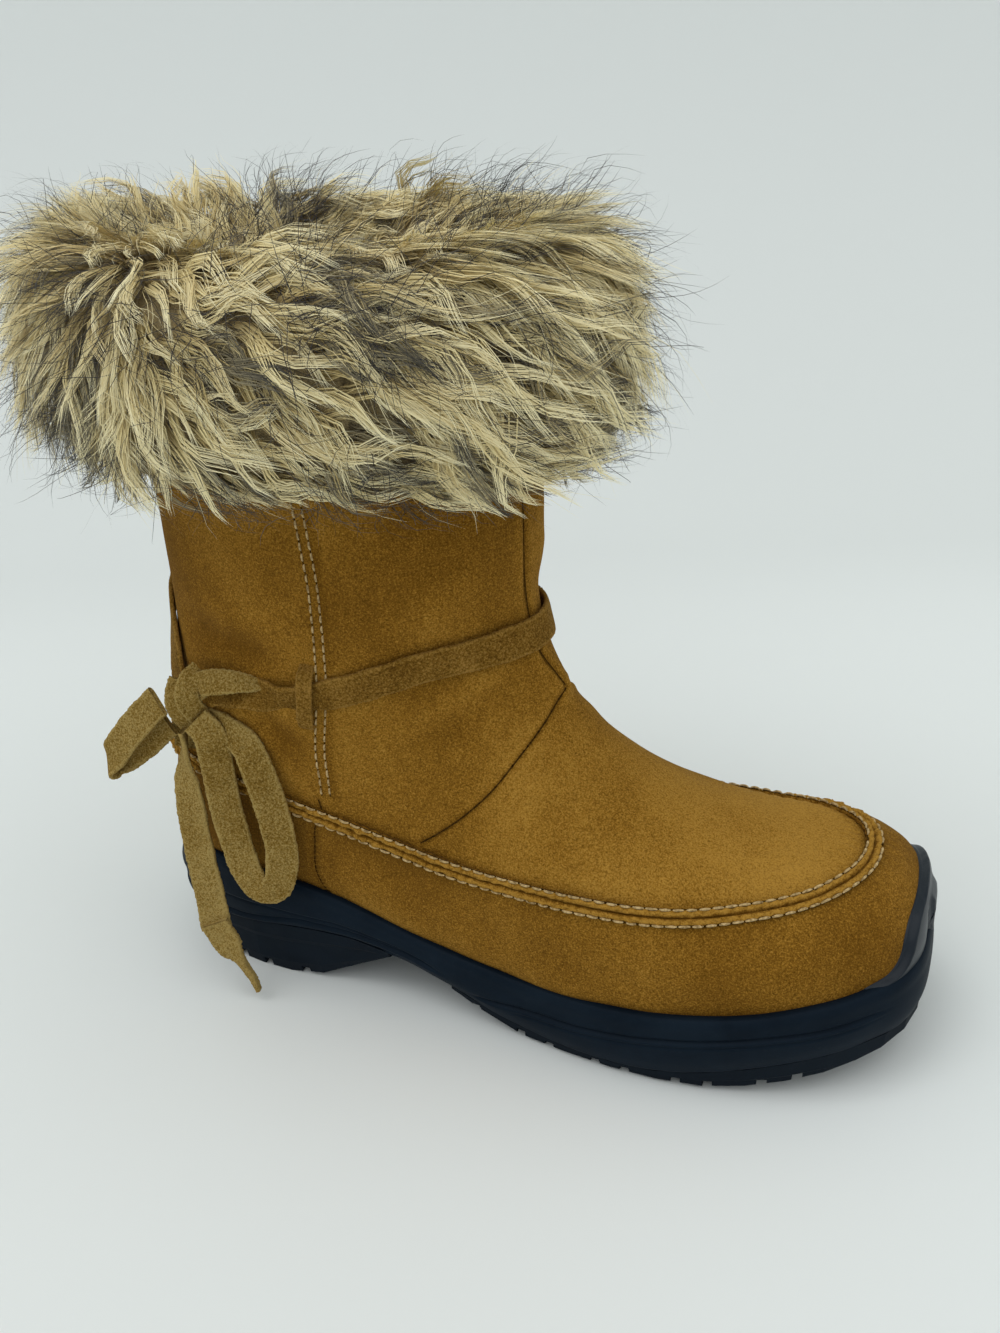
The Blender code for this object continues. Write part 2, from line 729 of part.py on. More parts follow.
def make_outsole(name, outline, start, end, slots, parts, cutters, material):
    """One tread piece under the midsole between two places along the foot."""
    places = (outline[:, 0] - SOLE_BACK) / SOLE_LENGTH
    inside = outline[(places > start + 0.01) & (places < end - 0.01)]
    edges = []
    for place in (start, end):
        if 0 < place < 1:
            x = SOLE_BACK + place * SOLE_LENGTH
            sides = [np.interp(x, outline[:, 0], outline[:, k]) for k in (1, 2)]
            edges.append((x, *sides))
    rows = sorted([tuple(row) for row in inside] + edges)
    piece = loop_of(np.array(rows))
    x = piece[:, 0]
    lines = [joint_height(x) - CLEARANCE, ledge_height(x), tread_height(x)]
    places = (x - SOLE_BACK) / SOLE_LENGTH
    open_end = (np.abs(places - start) < 1e-6) | (np.abs(places - end) < 1e-6)
    levels = []
    for level, out in OUTSOLE_PROFILE:
        whole = min(int(level), 1)
        z = lines[whole] + (lines[whole + 1] - lines[whole]) * (level - whole)
        distance = RIM_WALL + out * HEEL_STEP + heel_flare(places) * (1 - level / 4)
        levels.append(with_heights(grown_side_loop(piece, distance, open_end), z))
    outsole = ladder_stack(name, levels, parts, material)
    slot_boxes = make_slots(f"{name}_slots", slots, cutters)
    add_boolean(outsole, slot_boxes, "DIFFERENCE")
    return outsole


def grown_side_loop(loop, distance, open_end):
    """A grown loop whose open ends only widen, so that the end face stays flat."""
    ring = grown_loop(loop, distance)
    side = np.sign(loop[:, 1])
    ring[open_end, 0] = loop[open_end, 0]
    ring[open_end, 1] = loop[open_end, 1] + side[open_end] * distance[open_end]
    return ring


def make_slots(name, places, cutters):
    """Slanted slots across the tread, given by their X, as one cutter."""
    vertices, faces = [], []
    for n, middle in enumerate(places):
        slant = (SLOT_SLANT, -SLOT_SLANT)[n % 2]
        height = float(tread_height(middle)) + SLOT_DEPTH
        base = len(vertices)
        for z in (-SLOT_DEPTH, height):
            for dx, y in ((-1, -1), (1, -1), (1, 1), (-1, 1)):
                across = y * BALL_WIDTH * SLOT_REACH
                vertices.append((middle + dx * SLOT_WIDTH / 2 + slant * y, across, z))
        faces += [tuple(base + i for i in face) for face in BOX_FACES]
    return as_cutter(new_object(name, vertices, faces, cutters))


def make_seam(parts, material):
    """The raised seam all round the foot, between two forms grown from the upper's."""
    outer, inner = level_path(seam_height)
    loop = np.concatenate([outer, inner[::-1]])
    points = np.concatenate(path_points([loop]))
    spaced = evenly_spaced(points, points, 72, closed=True)
    nearest = [int(np.argmin(np.linalg.norm(points - point, axis=1))) for point in spaced]
    rings = []
    for index in nearest:
        place, angle = loop[index]
        low = form_grid(np.array([place]), np.array([angle]), SEAM_FIT)[0, 0]
        high = form_grid(np.array([place]), np.array([angle]), SEAM_FIT + SEAM_RISE)[0, 0]
        rings.append((low, high))
    middles = np.array([(low + high) / 2 for low, high in rings])
    normals = np.array([high - low for low, high in rings])
    return sweep("moc_seam", middles, normals, SEAM_WIDTH, SEAM_RISE, parts, material, closed=True)


def shaft_point(angle, height, grow=0.0):
    """The form's point at an angle round the shaft and a height, and its normal."""
    places = np.linspace(0.56, 1.0, 200)
    column = form_grid(places, np.array([angle]))[:, 0]
    place = np.array([np.interp(height, column[:, 2], places)])
    point = form_grid(place, np.array([angle]))[0, 0]
    normal = form_grid(place, np.array([angle]), 1.0)[0, 0] - point
    return point + normal * grow, normal


def strap_row(degrees):
    height, slack = smooth_rows(STRAP_ROUTE, degrees % 360)[0]
    z = INSTEP_HEIGHT + height * (SHAFT_HEIGHT - INSTEP_HEIGHT)
    return z, slack * STRAP_SLACK


def strap_frame(degrees, extra=0.0):
    z, slack = strap_row(degrees)
    grow = CLEARANCE + STRAP_THICKNESS / 2 + slack + extra
    return shaft_point(math.radians(degrees), z, grow)


def make_strap(parts, material):
    """The strap round the ankle, from the knot right round and back to the knot."""
    turns = np.linspace(KNOT_ANGLE + KNOT_SPREAD, KNOT_ANGLE - KNOT_SPREAD + 360, 60)
    frames = [strap_frame(turn) for turn in turns]
    points = [point for point, normal in frames]
    normals = [normal for point, normal in frames]
    return sweep("ankle_strap", points, normals, STRAP_WIDTH, STRAP_THICKNESS, parts, material)


def make_keeper(parts, material):
    """The loop at the side seam that holds the strap: a closed band over it."""
    point, normal = strap_frame(KEEPER_ANGLE)
    up = np.array([0.12, 0.0, 1.0])
    up -= normal * up.dot(normal)
    up /= np.linalg.norm(up)
    reach = STRAP_THICKNESS / 2 + CLEARANCE + STRAP_THICKNESS / 2
    route = [(-1.0, -0.5), (-0.85, 0.75), (-0.3, 1.0), (0.3, 1.0), (0.85, 0.75), (1.0, -0.5)]
    tall = KEEPER_LENGTH / 2
    points = [point + up * (tall * a) + normal * (reach * b) for a, b in route]
    normals = [normal + up * lean for lean in (-0.6, -0.4, 0, 0, 0.4, 0.6)]
    return sweep("strap_keeper", points, normals, KEEPER_WIDTH, KEEPER_THICKNESS, parts, material)


def knot_centre():
    point, normal = strap_frame(KNOT_ANGLE, KNOT_OFFSET)
    return point, normal


def make_knot(parts, material):
    """The knot: a squashed ball with a band's ridge across it."""
    centre, normal = knot_centre()
    mesh = bmesh.new()
    bmesh.ops.create_uvsphere(mesh, u_segments=12, v_segments=8, radius=0.5)
    for vertex in mesh.verts:
        x, y, z = vertex.co
        ridge = 1 + 0.18 * math.exp(-((z / 0.16) ** 2))
        vertex.co = Vector((x * KNOT_WIDTH * ridge, y * KNOT_WIDTH * ridge, z * KNOT_HEIGHT))
    data = bpy.data.meshes.new("bow_knot")
    mesh.to_mesh(data)
    mesh.free()
    data.materials.append(material)
    data.shade_smooth()
    knot = bpy.data.objects.new("bow_knot", data)
    knot.location = centre
    knot.rotation_euler = (0.0, math.radians(KNOT_LEAN), 0.0)
    parts.objects.link(knot)
    return knot


def ribbon_route(folds, count):
    """Points and face directions of a ribbon from its table of folds."""
    centre, normal = knot_centre()
    table = np.array(folds, float)
    keys = np.linspace(0, 1, len(table))[:, None]
    read = smooth_rows(np.hstack([keys, table]), np.linspace(0, 1, count))
    points = centre + read[:, :3] * np.array([1, -1, -1]) * BOW_DROP
    along = np.gradient(points, axis=0)
    along /= np.linalg.norm(along, axis=1, keepdims=True)
    outward = np.array([0.15, -1.0, 0.05])
    normals = []
    for step, turn in zip(along, np.radians(read[:, 3])):
        face = outward - step * outward.dot(step)
        face /= np.linalg.norm(face)
        side = np.cross(step, face)
        normals.append(face * math.cos(turn) + side * math.sin(turn))
    return points, np.array(normals)


def make_ribbon(name, folds, count, parts, material, widths=None):
    points, normals = ribbon_route(folds, count)
    width = STRAP_WIDTH if widths is None else widths * STRAP_WIDTH
    return sweep(name, points, normals, width, STRAP_THICKNESS, parts, material)


def make_tail(parts, cutters, material):
    """The long tail with its end folded over and a thin tip."""
    tail = make_ribbon("bow_tail", TAIL_FOLDS, 14, parts, material)
    centre, normal = knot_centre()
    forward, outward, down, turn = TAIL_FOLDS[-1]
    end = centre + np.array([forward, -outward, -down]) * BOW_DROP
    points, widths = [], []
    for ahead, below, wide in TIP_FOLDS:
        step = np.array([ahead, 0, -below]) * BOW_DROP
        points.append(end + step - np.array([0, TIP_SETBACK, 0]))
        widths.append(wide * STRAP_WIDTH)
    normals = [np.array([0.1, -1.0, 0.0])] * len(points)
    tip = sweep("tail_tip", points, normals, widths, TIP_THICKNESS, cutters, None)
    add_boolean(tail, as_cutter(tip), "UNION")
    return tail


def ring_point(angle, out, up):
    """A point of the fur cuff's section at an angle round the collar."""
    reach = FUR_REACH if out > 0 else FUR_INSET
    height = FUR_RISE if up > 0 else FUR_DROP
    z = SHAFT_HEIGHT + up * height
    point, normal = shaft_point(angle, min(z, SHAFT_HEIGHT))
    flat = np.array([normal[0], normal[1], 0.0])
    flat /= np.linalg.norm(flat)
    point = point + flat * out * reach
    point[2] = z
    return point, flat


def make_fur_body(parts, material):
    """The cuff's ring round the collar, hugging the upper and lapping over its edge."""
    columns = COLUMN_COUNT
    rings = []
    for n in range(columns):
        angle = 2 * math.pi * n / columns
        lump = 1 + sum(size * math.sin(waves * angle + phase) for waves, size, phase in FUR_WAVES)
        ring = [ring_point(angle, out * (lump if out > 0 else 1), up)[0] for out, up in FUR_SECTION]
        edge_z = SHAFT_HEIGHT + CLEARANCE
        over, flat = ring_point(angle, 1e-9, 0)
        inner_edge = over - flat * FUR_INSET * FUR_LAP
        outer_edge = over + flat * FUR_FIT
        ring.append(np.array([inner_edge[0], inner_edge[1], edge_z]))
        ring.append(np.array([outer_edge[0], outer_edge[1], edge_z]))
        for share in (0.33, 0.66, 1.0):
            side, flat = shaft_point(angle, SHAFT_HEIGHT - share * FUR_DROP)
            ring.append(side + flat * FUR_FIT)
        rings.append(ring)
    points = np.array(rings)
    size = points.shape[1]
    faces = tube_faces(columns, size)
    end = (columns - 1) * size
    faces += [(end + j, end + (j + 1) % size, (j + 1) % size, j) for j in range(size)]
    return new_object("fur_cuff", points.reshape(-1, 3), faces, parts, material)


def make_fur_row(number, row, cutters):
    """One ring of locks round the cuff: long tapering tips with short notches between
    them, each bent down and swept to the side."""
    out, up, tilt, length, sweep = row
    turns = np.linspace(0, 2 * math.pi, 36, endpoint=False)
    line = np.array([ring_point(turn, out, up)[0] for turn in turns])
    girth = np.linalg.norm(line - np.roll(line, 1, axis=0), axis=1).sum()
    count = max(6, round(girth / LOCK_WIDTH))
    vertices = []
    for n in range(2 * count):
        lock = n // 2 + 17 * number
        angle = math.pi * (n + number % 2 + 0.3 * math.sin(3.3 * lock)) / count
        root, flat = ring_point(angle, out * LOCK_ROOT[0], up * LOCK_ROOT[1])
        side = np.array([-flat[1], flat[0], 0.0])
        lean = math.radians(tilt + 9 * math.sin(2.7 * lock))
        veer = math.radians(sweep)
        if n % 2:
            reach, thick = NOTCH_LENGTH * length * LOCK_LENGTH, NOTCH_THICKNESS * LOCK_THICKNESS
        else:
            reach = length * LOCK_LENGTH * (1.05 + 0.22 * math.sin(4.1 * lock))
            thick = LOCK_THICKNESS
        point = root
        low, high = [], []
        for share, thin in ((0.0, 1.0), (LOCK_BEND, LOCK_TAPER)):
            fall = lean - math.radians(LOCK_DROOP) * share
            turned = flat * math.cos(veer * share) + side * math.sin(veer * share)
            heading = turned * math.cos(fall) + np.array([0, 0, math.sin(fall)])
            upward = -turned * math.sin(fall) + np.array([0, 0, math.cos(fall)])
            if share:
                point = point + heading * reach * share
            low.append(point - upward * thick * thin / 2)
            high.append(point + upward * thick * thin / 2)
        vertices += low + [point + heading * reach * (1 - share)] + high[::-1]
    size = len(vertices) // (2 * count)
    faces = tube_faces(2 * count, size)
    end = (2 * count - 1) * size
    faces += [(end + j, end + (j + 1) % size, (j + 1) % size, j) for j in range(size)]
    return as_cutter(new_object(f"fur_row_{number}", vertices, faces, cutters))


def make_fur(parts, cutters, material):
    cuff = make_fur_body(parts, material)
    for number, row in enumerate(FUR_ROWS):
        add_boolean(cuff, make_fur_row(number, row, cutters), "UNION")
    return cuff


def main():
    for obj in list(bpy.data.objects):
        bpy.data.objects.remove(obj)
    parts = new_collection("Mukluk boot")
    cutters = new_collection("Cutters")
    suede = new_material("suede", (0.25, 0.13, 0.032), 0.95)
    thong = new_material("strap_suede", (0.22, 0.14, 0.055), 0.95)
    rubber = new_material("sidewall_rubber", (0.012, 0.018, 0.026), 0.55)
    tread = new_material("tread_rubber", (0.010, 0.014, 0.020), 0.65)
    fleece = new_material("fleece", (0.45, 0.36, 0.24), 1.0)
    fur = new_material("fur", (0.48, 0.40, 0.26), 1.0)

    outline = sole_outline()
    make_upper(parts, cutters, suede)
    make_insole(parts, cutters, fleece)
    make_midsole(parts, cutters, outline, rubber)
    heel_slots = [(n - 1.5) * SLOT_PITCH for n in range(4)]
    ball = HEEL_BACK + BALL_PLACE * UPPER_LENGTH
    forefoot_slots = [ball + (n - 3.5) * SLOT_PITCH for n in range(9)]
    make_outsole("outsole_heel", outline, 0, HEEL_POD_END, heel_slots, parts, cutters, tread)
    make_outsole("outsole_forefoot", outline, FOREFOOT_START, 1, forefoot_slots, parts, cutters, tread)
    make_seam(parts, suede)
    make_fur(parts, cutters, fur)
    make_strap(parts, thong)
    make_keeper(parts, thong)
    make_knot(parts, thong)
    make_ribbon("bow_loop", LOOP_FOLDS, 30, parts, thong)
    make_ribbon("bow_side_loop", SIDE_LOOP_FOLDS, 22, parts, thong)
    make_tail(parts, cutters, thong)
    make_ribbon("bow_short_tail", SHORT_TAIL_FOLDS, 6, parts, thong, np.full(6, 0.7))


main()
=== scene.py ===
"""Looks of the right mukluk boot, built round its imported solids. Metres, +Z up, +X to the
toe, +Y to the inner side of the foot."""

import math

import bmesh
import bpy
import numpy as np
from mathutils import Matrix, Vector
from mathutils.bvhtree import BVHTree


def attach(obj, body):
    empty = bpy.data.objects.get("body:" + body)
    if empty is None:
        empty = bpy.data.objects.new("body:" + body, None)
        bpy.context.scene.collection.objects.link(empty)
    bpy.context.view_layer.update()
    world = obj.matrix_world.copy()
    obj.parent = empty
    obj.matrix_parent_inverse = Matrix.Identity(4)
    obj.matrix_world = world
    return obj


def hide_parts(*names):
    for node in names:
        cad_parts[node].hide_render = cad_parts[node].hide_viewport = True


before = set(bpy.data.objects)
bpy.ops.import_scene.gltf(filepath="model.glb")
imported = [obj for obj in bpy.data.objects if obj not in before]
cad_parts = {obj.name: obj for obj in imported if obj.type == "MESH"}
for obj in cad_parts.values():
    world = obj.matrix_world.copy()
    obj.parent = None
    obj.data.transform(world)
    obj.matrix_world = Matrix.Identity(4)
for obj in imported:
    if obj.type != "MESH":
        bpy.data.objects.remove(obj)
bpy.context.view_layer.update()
RNG = np.random.default_rng(7)

# Sizes of the boot, as the solids have them
UPPER_LENGTH = 0.2865
BALL_WIDTH = 0.096
INSTEP_HEIGHT = 0.127
SHAFT_HEIGHT = 0.250
SHAFT_DEPTH = 0.136
SHAFT_WIDTH = 0.090
HEEL_SEAT = 0.040
HEEL_HEIGHT = 0.035
BALL_HEIGHT = 0.018
TOE_SPRING = 0.020
WALL = 0.003
CLEARANCE = 0.0003
RIM_WALL = 0.0028
INSOLE_THICKNESS = 0.004
HEEL_FLARE = 0.0035
BUMPER_TOP = 0.064
BUMPER_WALL = 0.0034
BUMPER_WIDTH = 0.052
TAB_RISE = 0.0016
SEAM_WIDTH = 0.0054
SEAM_RISE = 0.0022
FUR_REACH = 0.027
FUR_DROP = 0.042
FUR_RISE = 0.024
FUR_INSET = 0.010
STRAP_WIDTH = 0.0118
STRAP_THICKNESS = 0.0022
STRAP_SLACK = 0.0035
KEEPER_WIDTH = 0.0055
KEEPER_LENGTH = 0.024
KNOT_OFFSET = 0.0028
KNOT_SPREAD = 8.5
BOW_DROP = 0.075
KEEPER_ANGLE = 86
KNOT_ANGLE = 128
SHAFT_MIDDLE = 0.271
HEEL_BACK = -HEEL_SEAT
SOLE_BACK = HEEL_BACK - RIM_WALL
SOLE_LENGTH = UPPER_LENGTH + 2 * RIM_WALL
FULL_TURN = 2 * math.pi
PROBE = 0.006

# Counts of rows and columns, or of corners, that the pieces are made with
UPPER_GRID = (252, 288)
CUFF_GRID = (150, 34)
THREAD_GRID = (7, 6)
RIBBON_CORNERS = 22
STATIONS = 7

# place, top_x, top_height, base_x, base_height, outer, inner, centre, widest, crown, corner
FOOT_SECTIONS = [
    (0.000, 1.000, 0.394, 1.000, -1.00, 0.07, 0.07, 0.125, 0.50, 2.0, 2.0),
    (0.025, 0.995, 0.449, 0.997, -0.70, 0.20, 0.19, 0.120, 0.48, 2.1, 2.6),
    (0.060, 0.977, 0.500, 0.983, -0.48, 0.31, 0.29, 0.104, 0.44, 2.2, 3.6),
    (0.110, 0.939, 0.543, 0.949, -0.34, 0.405, 0.375, 0.089, 0.40, 2.2, 4.5),
    (0.180, 0.880, 0.575, 0.901, -0.20, 0.48, 0.44, 0.062, 0.38, 2.2, 5.0),
    (0.260, 0.796, 0.614, 0.820, -0.08, 0.52, 0.47, 0.026, 0.36, 2.1, 5.0),
    (0.350, 0.709, 0.685, 0.716, 0.00, 0.526, 0.474, 0.000, 0.34, 2.0, 5.0),
    (0.440, 0.635, 0.787, 0.586, 0.03, 0.50, 0.45, -0.010, 0.33, 1.95, 4.8),
    (0.520, 0.583, 0.898, 0.436, 0.26, 0.448, 0.406, -0.010, 0.34, 1.9, 4.4),
    (0.590, 0.551, 1.000, 0.262, 0.76, 0.406, 0.375, 0.000, 0.38, 1.9, 3.8),
    (0.650, 0.534, 1.106, 0.098, 1.00, 0.396, 0.375, 0.000, 0.42, 2.0, 3.2),
    (0.700, 0.525, 1.211, 0.011, 1.06, 0.406, 0.396, 0.000, 0.46, 2.0, 2.4),
]
SHAFT_SECTIONS = [
    (0.760, 0.529, 1.341, -0.555, 1.228, 0.456, 0.456, 0.000, 0.50, 2.1, 2.1),
    (0.830, 0.526, 1.512, -0.489, 1.433, 0.478, 0.478, 0.000, 0.50, 2.1, 2.1),
    (0.910, 0.526, 1.740, -0.467, 1.651, 0.500, 0.500, 0.000, 0.50, 2.1, 2.1),
    (1.000, 0.533, 2.000, -0.504, 2.000, 0.511, 0.511, 0.000, 0.50, 2.1, 2.1),
]
# place, rim, joint
SOLE_LINES = [
    (0.000, 1.33, 0.57),
    (0.045, 1.36, 0.58),
    (0.095, 1.38, 0.60),
    (0.145, 1.36, 0.64),
    (0.220, 1.29, 0.71),
    (0.265, 1.22, 0.72),
    (0.315, 1.10, 0.69),
    (0.360, 1.00, 0.62),
    (0.420, 0.89, 0.51),
    (0.465, 0.83, 0.39),
    (0.505, 0.79, 0.28),
    (0.540, 0.75, 0.20),
    (0.640, 0.77, 0.14),
    (0.710, 0.82, 0.17),
    (0.770, 0.89, 0.26),
    (0.825, 0.96, 0.37),
    (0.885, 1.06, 0.48),
    (0.940, 1.12, 0.55),
    (1.000, 1.20, 0.58),
]
# place along the foot, share of INSTEP_HEIGHT
SEAM_HEIGHTS = [
    (-0.05, 0.705),
    (0.10, 0.700),
    (0.18, 0.677),
    (0.25, 0.632),
    (0.33, 0.583),
    (0.44, 0.532),
    (0.52, 0.518),
    (0.62, 0.510),
    (0.74, 0.504),
    (0.80, 0.512),
    (0.86, 0.523),
    (0.90, 0.534),
    (0.94, 0.546),
]
# out, up
FUR_SECTION = [
    (0.30, -1.06),
    (0.72, -0.92),
    (0.97, -0.55),
    (1.00, -0.05),
    (0.90, 0.42),
    (0.62, 0.84),
    (0.25, 1.00),
    (-0.35, 0.86),
    (-0.90, 0.50),
    (-0.75, 0.12),
]
# angle, height, slack
STRAP_ROUTE = [
    (0, 0.155, 0.32),
    (30, 0.142, 0.28),
    (55, 0.112, 0.16),
    (75, 0.050, 0.14),
    (90, 0.015, 0.22),
    (105, 0.015, 0.50),
    (117, -0.005, 0.80),
    (128, -0.062, 1.00),
    (137, -0.020, 0.85),
    (148, 0.090, 0.60),
    (162, 0.165, 0.40),
    (182, 0.185, 0.30),
    (205, 0.175, 0.25),
    (240, 0.155, 0.18),
    (285, 0.145, 0.18),
    (330, 0.155, 0.28),
    (360, 0.155, 0.32),
]
# forward, outward, down, turn
LOOP_FOLDS = [
    (0.10, 0.055, 0.06, -10),
    (0.17, 0.065, 0.13, -14),
    (0.185, 0.065, 0.28, -16),
    (0.215, 0.085, 0.54, -14),
    (0.26, 0.10, 0.77, -12),
    (0.295, 0.105, 0.875, -6),
    (0.345, 0.105, 0.945, 0),
    (0.41, 0.10, 0.945, 6),
    (0.46, 0.095, 0.875, 10),
    (0.485, 0.085, 0.70, 12),
    (0.45, 0.075, 0.46, 14),
    (0.40, 0.07, 0.26, 12),
    (0.33, 0.045, 0.15, 8),
    (0.23, 0.02, 0.11, 0),
    (0.13, -0.01, 0.10, 0),
]
SIDE_LOOP_FOLDS = [
    (-0.097, 0.045, -0.01, 20),
    (-0.18, 0.045, 0.07, 20),
    (-0.29, 0.055, 0.19, 18),
    (-0.39, 0.06, 0.31, 20),
    (-0.445, 0.045, 0.39, 60),
    (-0.43, 0.005, 0.42, 110),
    (-0.36, -0.03, 0.36, 155),
    (-0.25, -0.03, 0.27, 160),
    (-0.12, -0.035, 0.15, 165),
]
TAIL_FOLDS = [
    (0.01, 0.03, 0.135, 80),
    (0.01, 0.06, 0.30, 50),
    (0.01, 0.08, 0.45, 14),
    (0.035, 0.11, 0.75, 4),
    (0.075, 0.14, 1.05, 0),
    (0.095, 0.16, 1.22, 0),
]
SHORT_TAIL_FOLDS = [
    (-0.055, -0.066, 0.13, 0),
    (-0.06, -0.072, 0.21, 0),
    (-0.07, -0.072, 0.30, 0),
]
# forward, down, width
TIP_FOLDS = [
    (0.000, -0.060, 1.02),
    (0.030, 0.000, 1.05),
    (0.070, 0.080, 0.95),
    (0.115, 0.140, 0.42),
    (0.170, 0.240, 0.24),
    (0.200, 0.325, 0.16),
]


def unit(vectors):
    return vectors / (np.linalg.norm(vectors, axis=-1, keepdims=True) + 1e-12)


def bell(distance, width):
    return np.exp(-((distance / width) ** 2))


def dots(first, second):
    return np.einsum("ij,ij->i", first, second)


def lengths(vectors):
    return np.linalg.norm(vectors, axis=1)


def ahead_of(points, axis=0):
    """Directions along lines of points."""
    return unit(np.gradient(points, axis=axis))


def smooth_rows(rows, places):
    """Reads a table, keyed by its first column, with a smooth curve through its rows."""
    table = np.array(rows, float)
    keys, values = table[:, 0], table[:, 1:]
    steps = np.diff(keys)[:, None]
    slopes = np.diff(values, axis=0) / steps
    inner = (slopes[:-1] * steps[1:] + slopes[1:] * steps[:-1]) / (steps[1:] + steps[:-1])
    tangents = np.vstack([slopes[:1], inner, slopes[-1:]])
    places = np.clip(np.atleast_1d(places), keys[0], keys[-1])
    row = np.clip(np.searchsorted(keys, places, side="right") - 1, 0, len(keys) - 2)
    step = (keys[row + 1] - keys[row])[:, None]
    u = (places - keys[row])[:, None] / step
    return (
        values[row] * (1 + 2 * u) * (1 - u) ** 2
        + tangents[row] * step * u * (1 - u) ** 2
        + values[row + 1] * u * u * (3 - 2 * u)
        + tangents[row + 1] * step * u * u * (u - 1)
    )


def even_rows(rows, count):
    """Reads a table without keys at even steps from its first row to its last."""
    table = np.array(rows, float)
    keys = np.linspace(0, 1, len(table))[:, None]
    return smooth_rows(np.hstack([keys, table]), np.linspace(0, 1, count))


def section_rows():
    """The sections' shares as lengths, in one table from the toe to the collar."""
    rows = []
    bases = [BALL_HEIGHT + TOE_SPRING, BALL_HEIGHT, HEEL_HEIGHT, SHAFT_HEIGHT]
    for table, middle, depth, width in (
        (FOOT_SECTIONS, HEEL_BACK, UPPER_LENGTH, BALL_WIDTH),
        (SHAFT_SECTIONS, HEEL_BACK + SHAFT_MIDDLE * UPPER_LENGTH, SHAFT_DEPTH, SHAFT_WIDTH),
    ):
        for place, top_x, top_z, base_x, base_z, outer, inner, centre, *shape in table:
            top = np.interp(top_z, [0, 1, 2], [0, INSTEP_HEIGHT, SHAFT_HEIGHT])
            base = np.interp(base_z, [-1, 0, 1, 2], bases)
            spread = [outer * width, inner * width, centre * width]
            along = [middle + top_x * depth, top, middle + base_x * depth, base]
            rows.append([place, *along, *spread, *shape])
    return rows


SECTIONS = section_rows()


def form_at(places, angles):
    """Points of the upper's outer form, for places and angles of one shape."""
    places, angles = np.broadcast_arrays(places, angles)
    read = smooth_rows(SECTIONS, places.ravel()).reshape(*places.shape, -1)
    top_x, top_z, base_x, base_z, outer, inner, centre, widest, crown, corner = np.moveaxis(read, -1, 0)
    upward, sideways = np.cos(angles), np.sin(angles)
    power = 2 / np.where(upward >= 0, crown, corner)
    rise = np.abs(upward) ** power
    height = np.where(upward >= 0, widest + (1 - widest) * rise, widest * (1 - rise))
    reach = np.abs(sideways) ** power
    y = centre + np.where(sideways >= 0, -outer, inner) * reach
    return np.stack([base_x + (top_x - base_x) * height, y, base_z + (top_z - base_z) * height], -1)


def form_normals(places, angles):
    small = 1e-4
    ahead = form_at(np.minimum(places + small, 1), angles)
    along = ahead - form_at(np.maximum(places - small, 0), angles)
    around = form_at(places, angles + small) - form_at(places, angles - small)
    return unit(np.cross(along, around))


def crossing(values):
    """Where a row of values first rises through zero, as a fractional index."""
    rising = np.where((values[:-1] < 0) & (values[1:] >= 0))[0]
    if len(rising) == 0:
        return None
    i = rising[0]
    return i + values[i] / (values[i] - values[i + 1])


def level_path(height_at, turn_in=0.16, turn_out=0.62):
    """The loop where the form meets a height that varies along the foot, as an outer
    and an inner run of (place, angle) from toe to heel."""

    def met(places, angles, values):
        """The value of the first point along a run where the form meets the height."""
        points = form_at(places, angles)
        found = crossing(points[:, 2] - height_at(points[:, 0]))
        return None if found is None else np.interp(found, range(len(values)), values)

    near, far = np.linspace(0, turn_in, 120), np.linspace(turn_out - 0.01, 0.9, 240)
    runs = []
    for sign in (1, -1):
        sweep = sign * np.linspace(math.pi, 0, 240)
        run = []
        first = 0.0
        if met(0.0, sweep, sweep) is None:
            first = turn_in
            for angle in np.linspace(0, met(turn_in, sweep, sweep), 48)[:-1]:
                run.append((met(near, angle, near), angle))
        for place in np.linspace(first, turn_out, 160):
            run.append((place, met(place, sweep, sweep)))
        for angle in np.linspace(run[-1][1], sign * math.pi, 60)[1:]:
            run.append((met(far, angle, far), angle))
        runs.append(np.array(run, float))
    return runs


def read_height(rows, places, size):
    """A table's one value at places of any shape, as a share of a size."""
    read = smooth_rows(rows, np.ravel(places))[:, 0].reshape(np.shape(places))
    return np.maximum(read, 0) * size


def line_reader(column):
    """A height along the sole's side, as a function of X."""
    rows = np.array(SOLE_LINES)[:, [0, column]]

    def height(x):
        return read_height(rows, (np.asarray(x, float) - SOLE_BACK) / SOLE_LENGTH, HEEL_HEIGHT)

    return height


rim_height, joint_height = map(line_reader, (1, 2))


def seam_height(x):
    places = (np.asarray(x, float) - HEEL_BACK) / UPPER_LENGTH
    return read_height(SEAM_HEIGHTS, places, INSTEP_HEIGHT)


def bed_height(x):
    rows = [row for row in SECTIONS if row[0] <= 0.65][::-1]
    return np.interp(x, [row[3] for row in rows], [row[4] for row in rows])


def spaced(points, step, closed=False):
    """Points at even steps along a line, and the line's length at each."""
    if closed:
        points = np.vstack([points, points[:1]])
    length = np.concatenate([[0], np.cumsum(lengths(np.diff(points, axis=0)))])
    count = max(2, round(length[-1] / step))
    at = np.linspace(0, length[-1], count + 1)
    if closed:
        at = at[:-1]
    return np.stack([np.interp(at, length, column) for column in points.T], 1), at


def wave(points, pitch, seed):
    """Smooth noise between about -1 and 1 at points, with features about pitch across."""
    draw = np.random.default_rng(seed)
    total = np.zeros(points.shape[:-1])
    for _ in range(9):
        direction = unit(draw.normal(size=3))
        turn = draw.uniform(0, FULL_TURN)
        total += np.sin(points @ direction * FULL_TURN / (pitch * draw.uniform(0.7, 1.5)) + turn)
    return total / 3.2


def smoothstep(values, low, high):
    share = np.clip((values - low) / (high - low), 0, 1)
    return share * share * (3 - 2 * share)


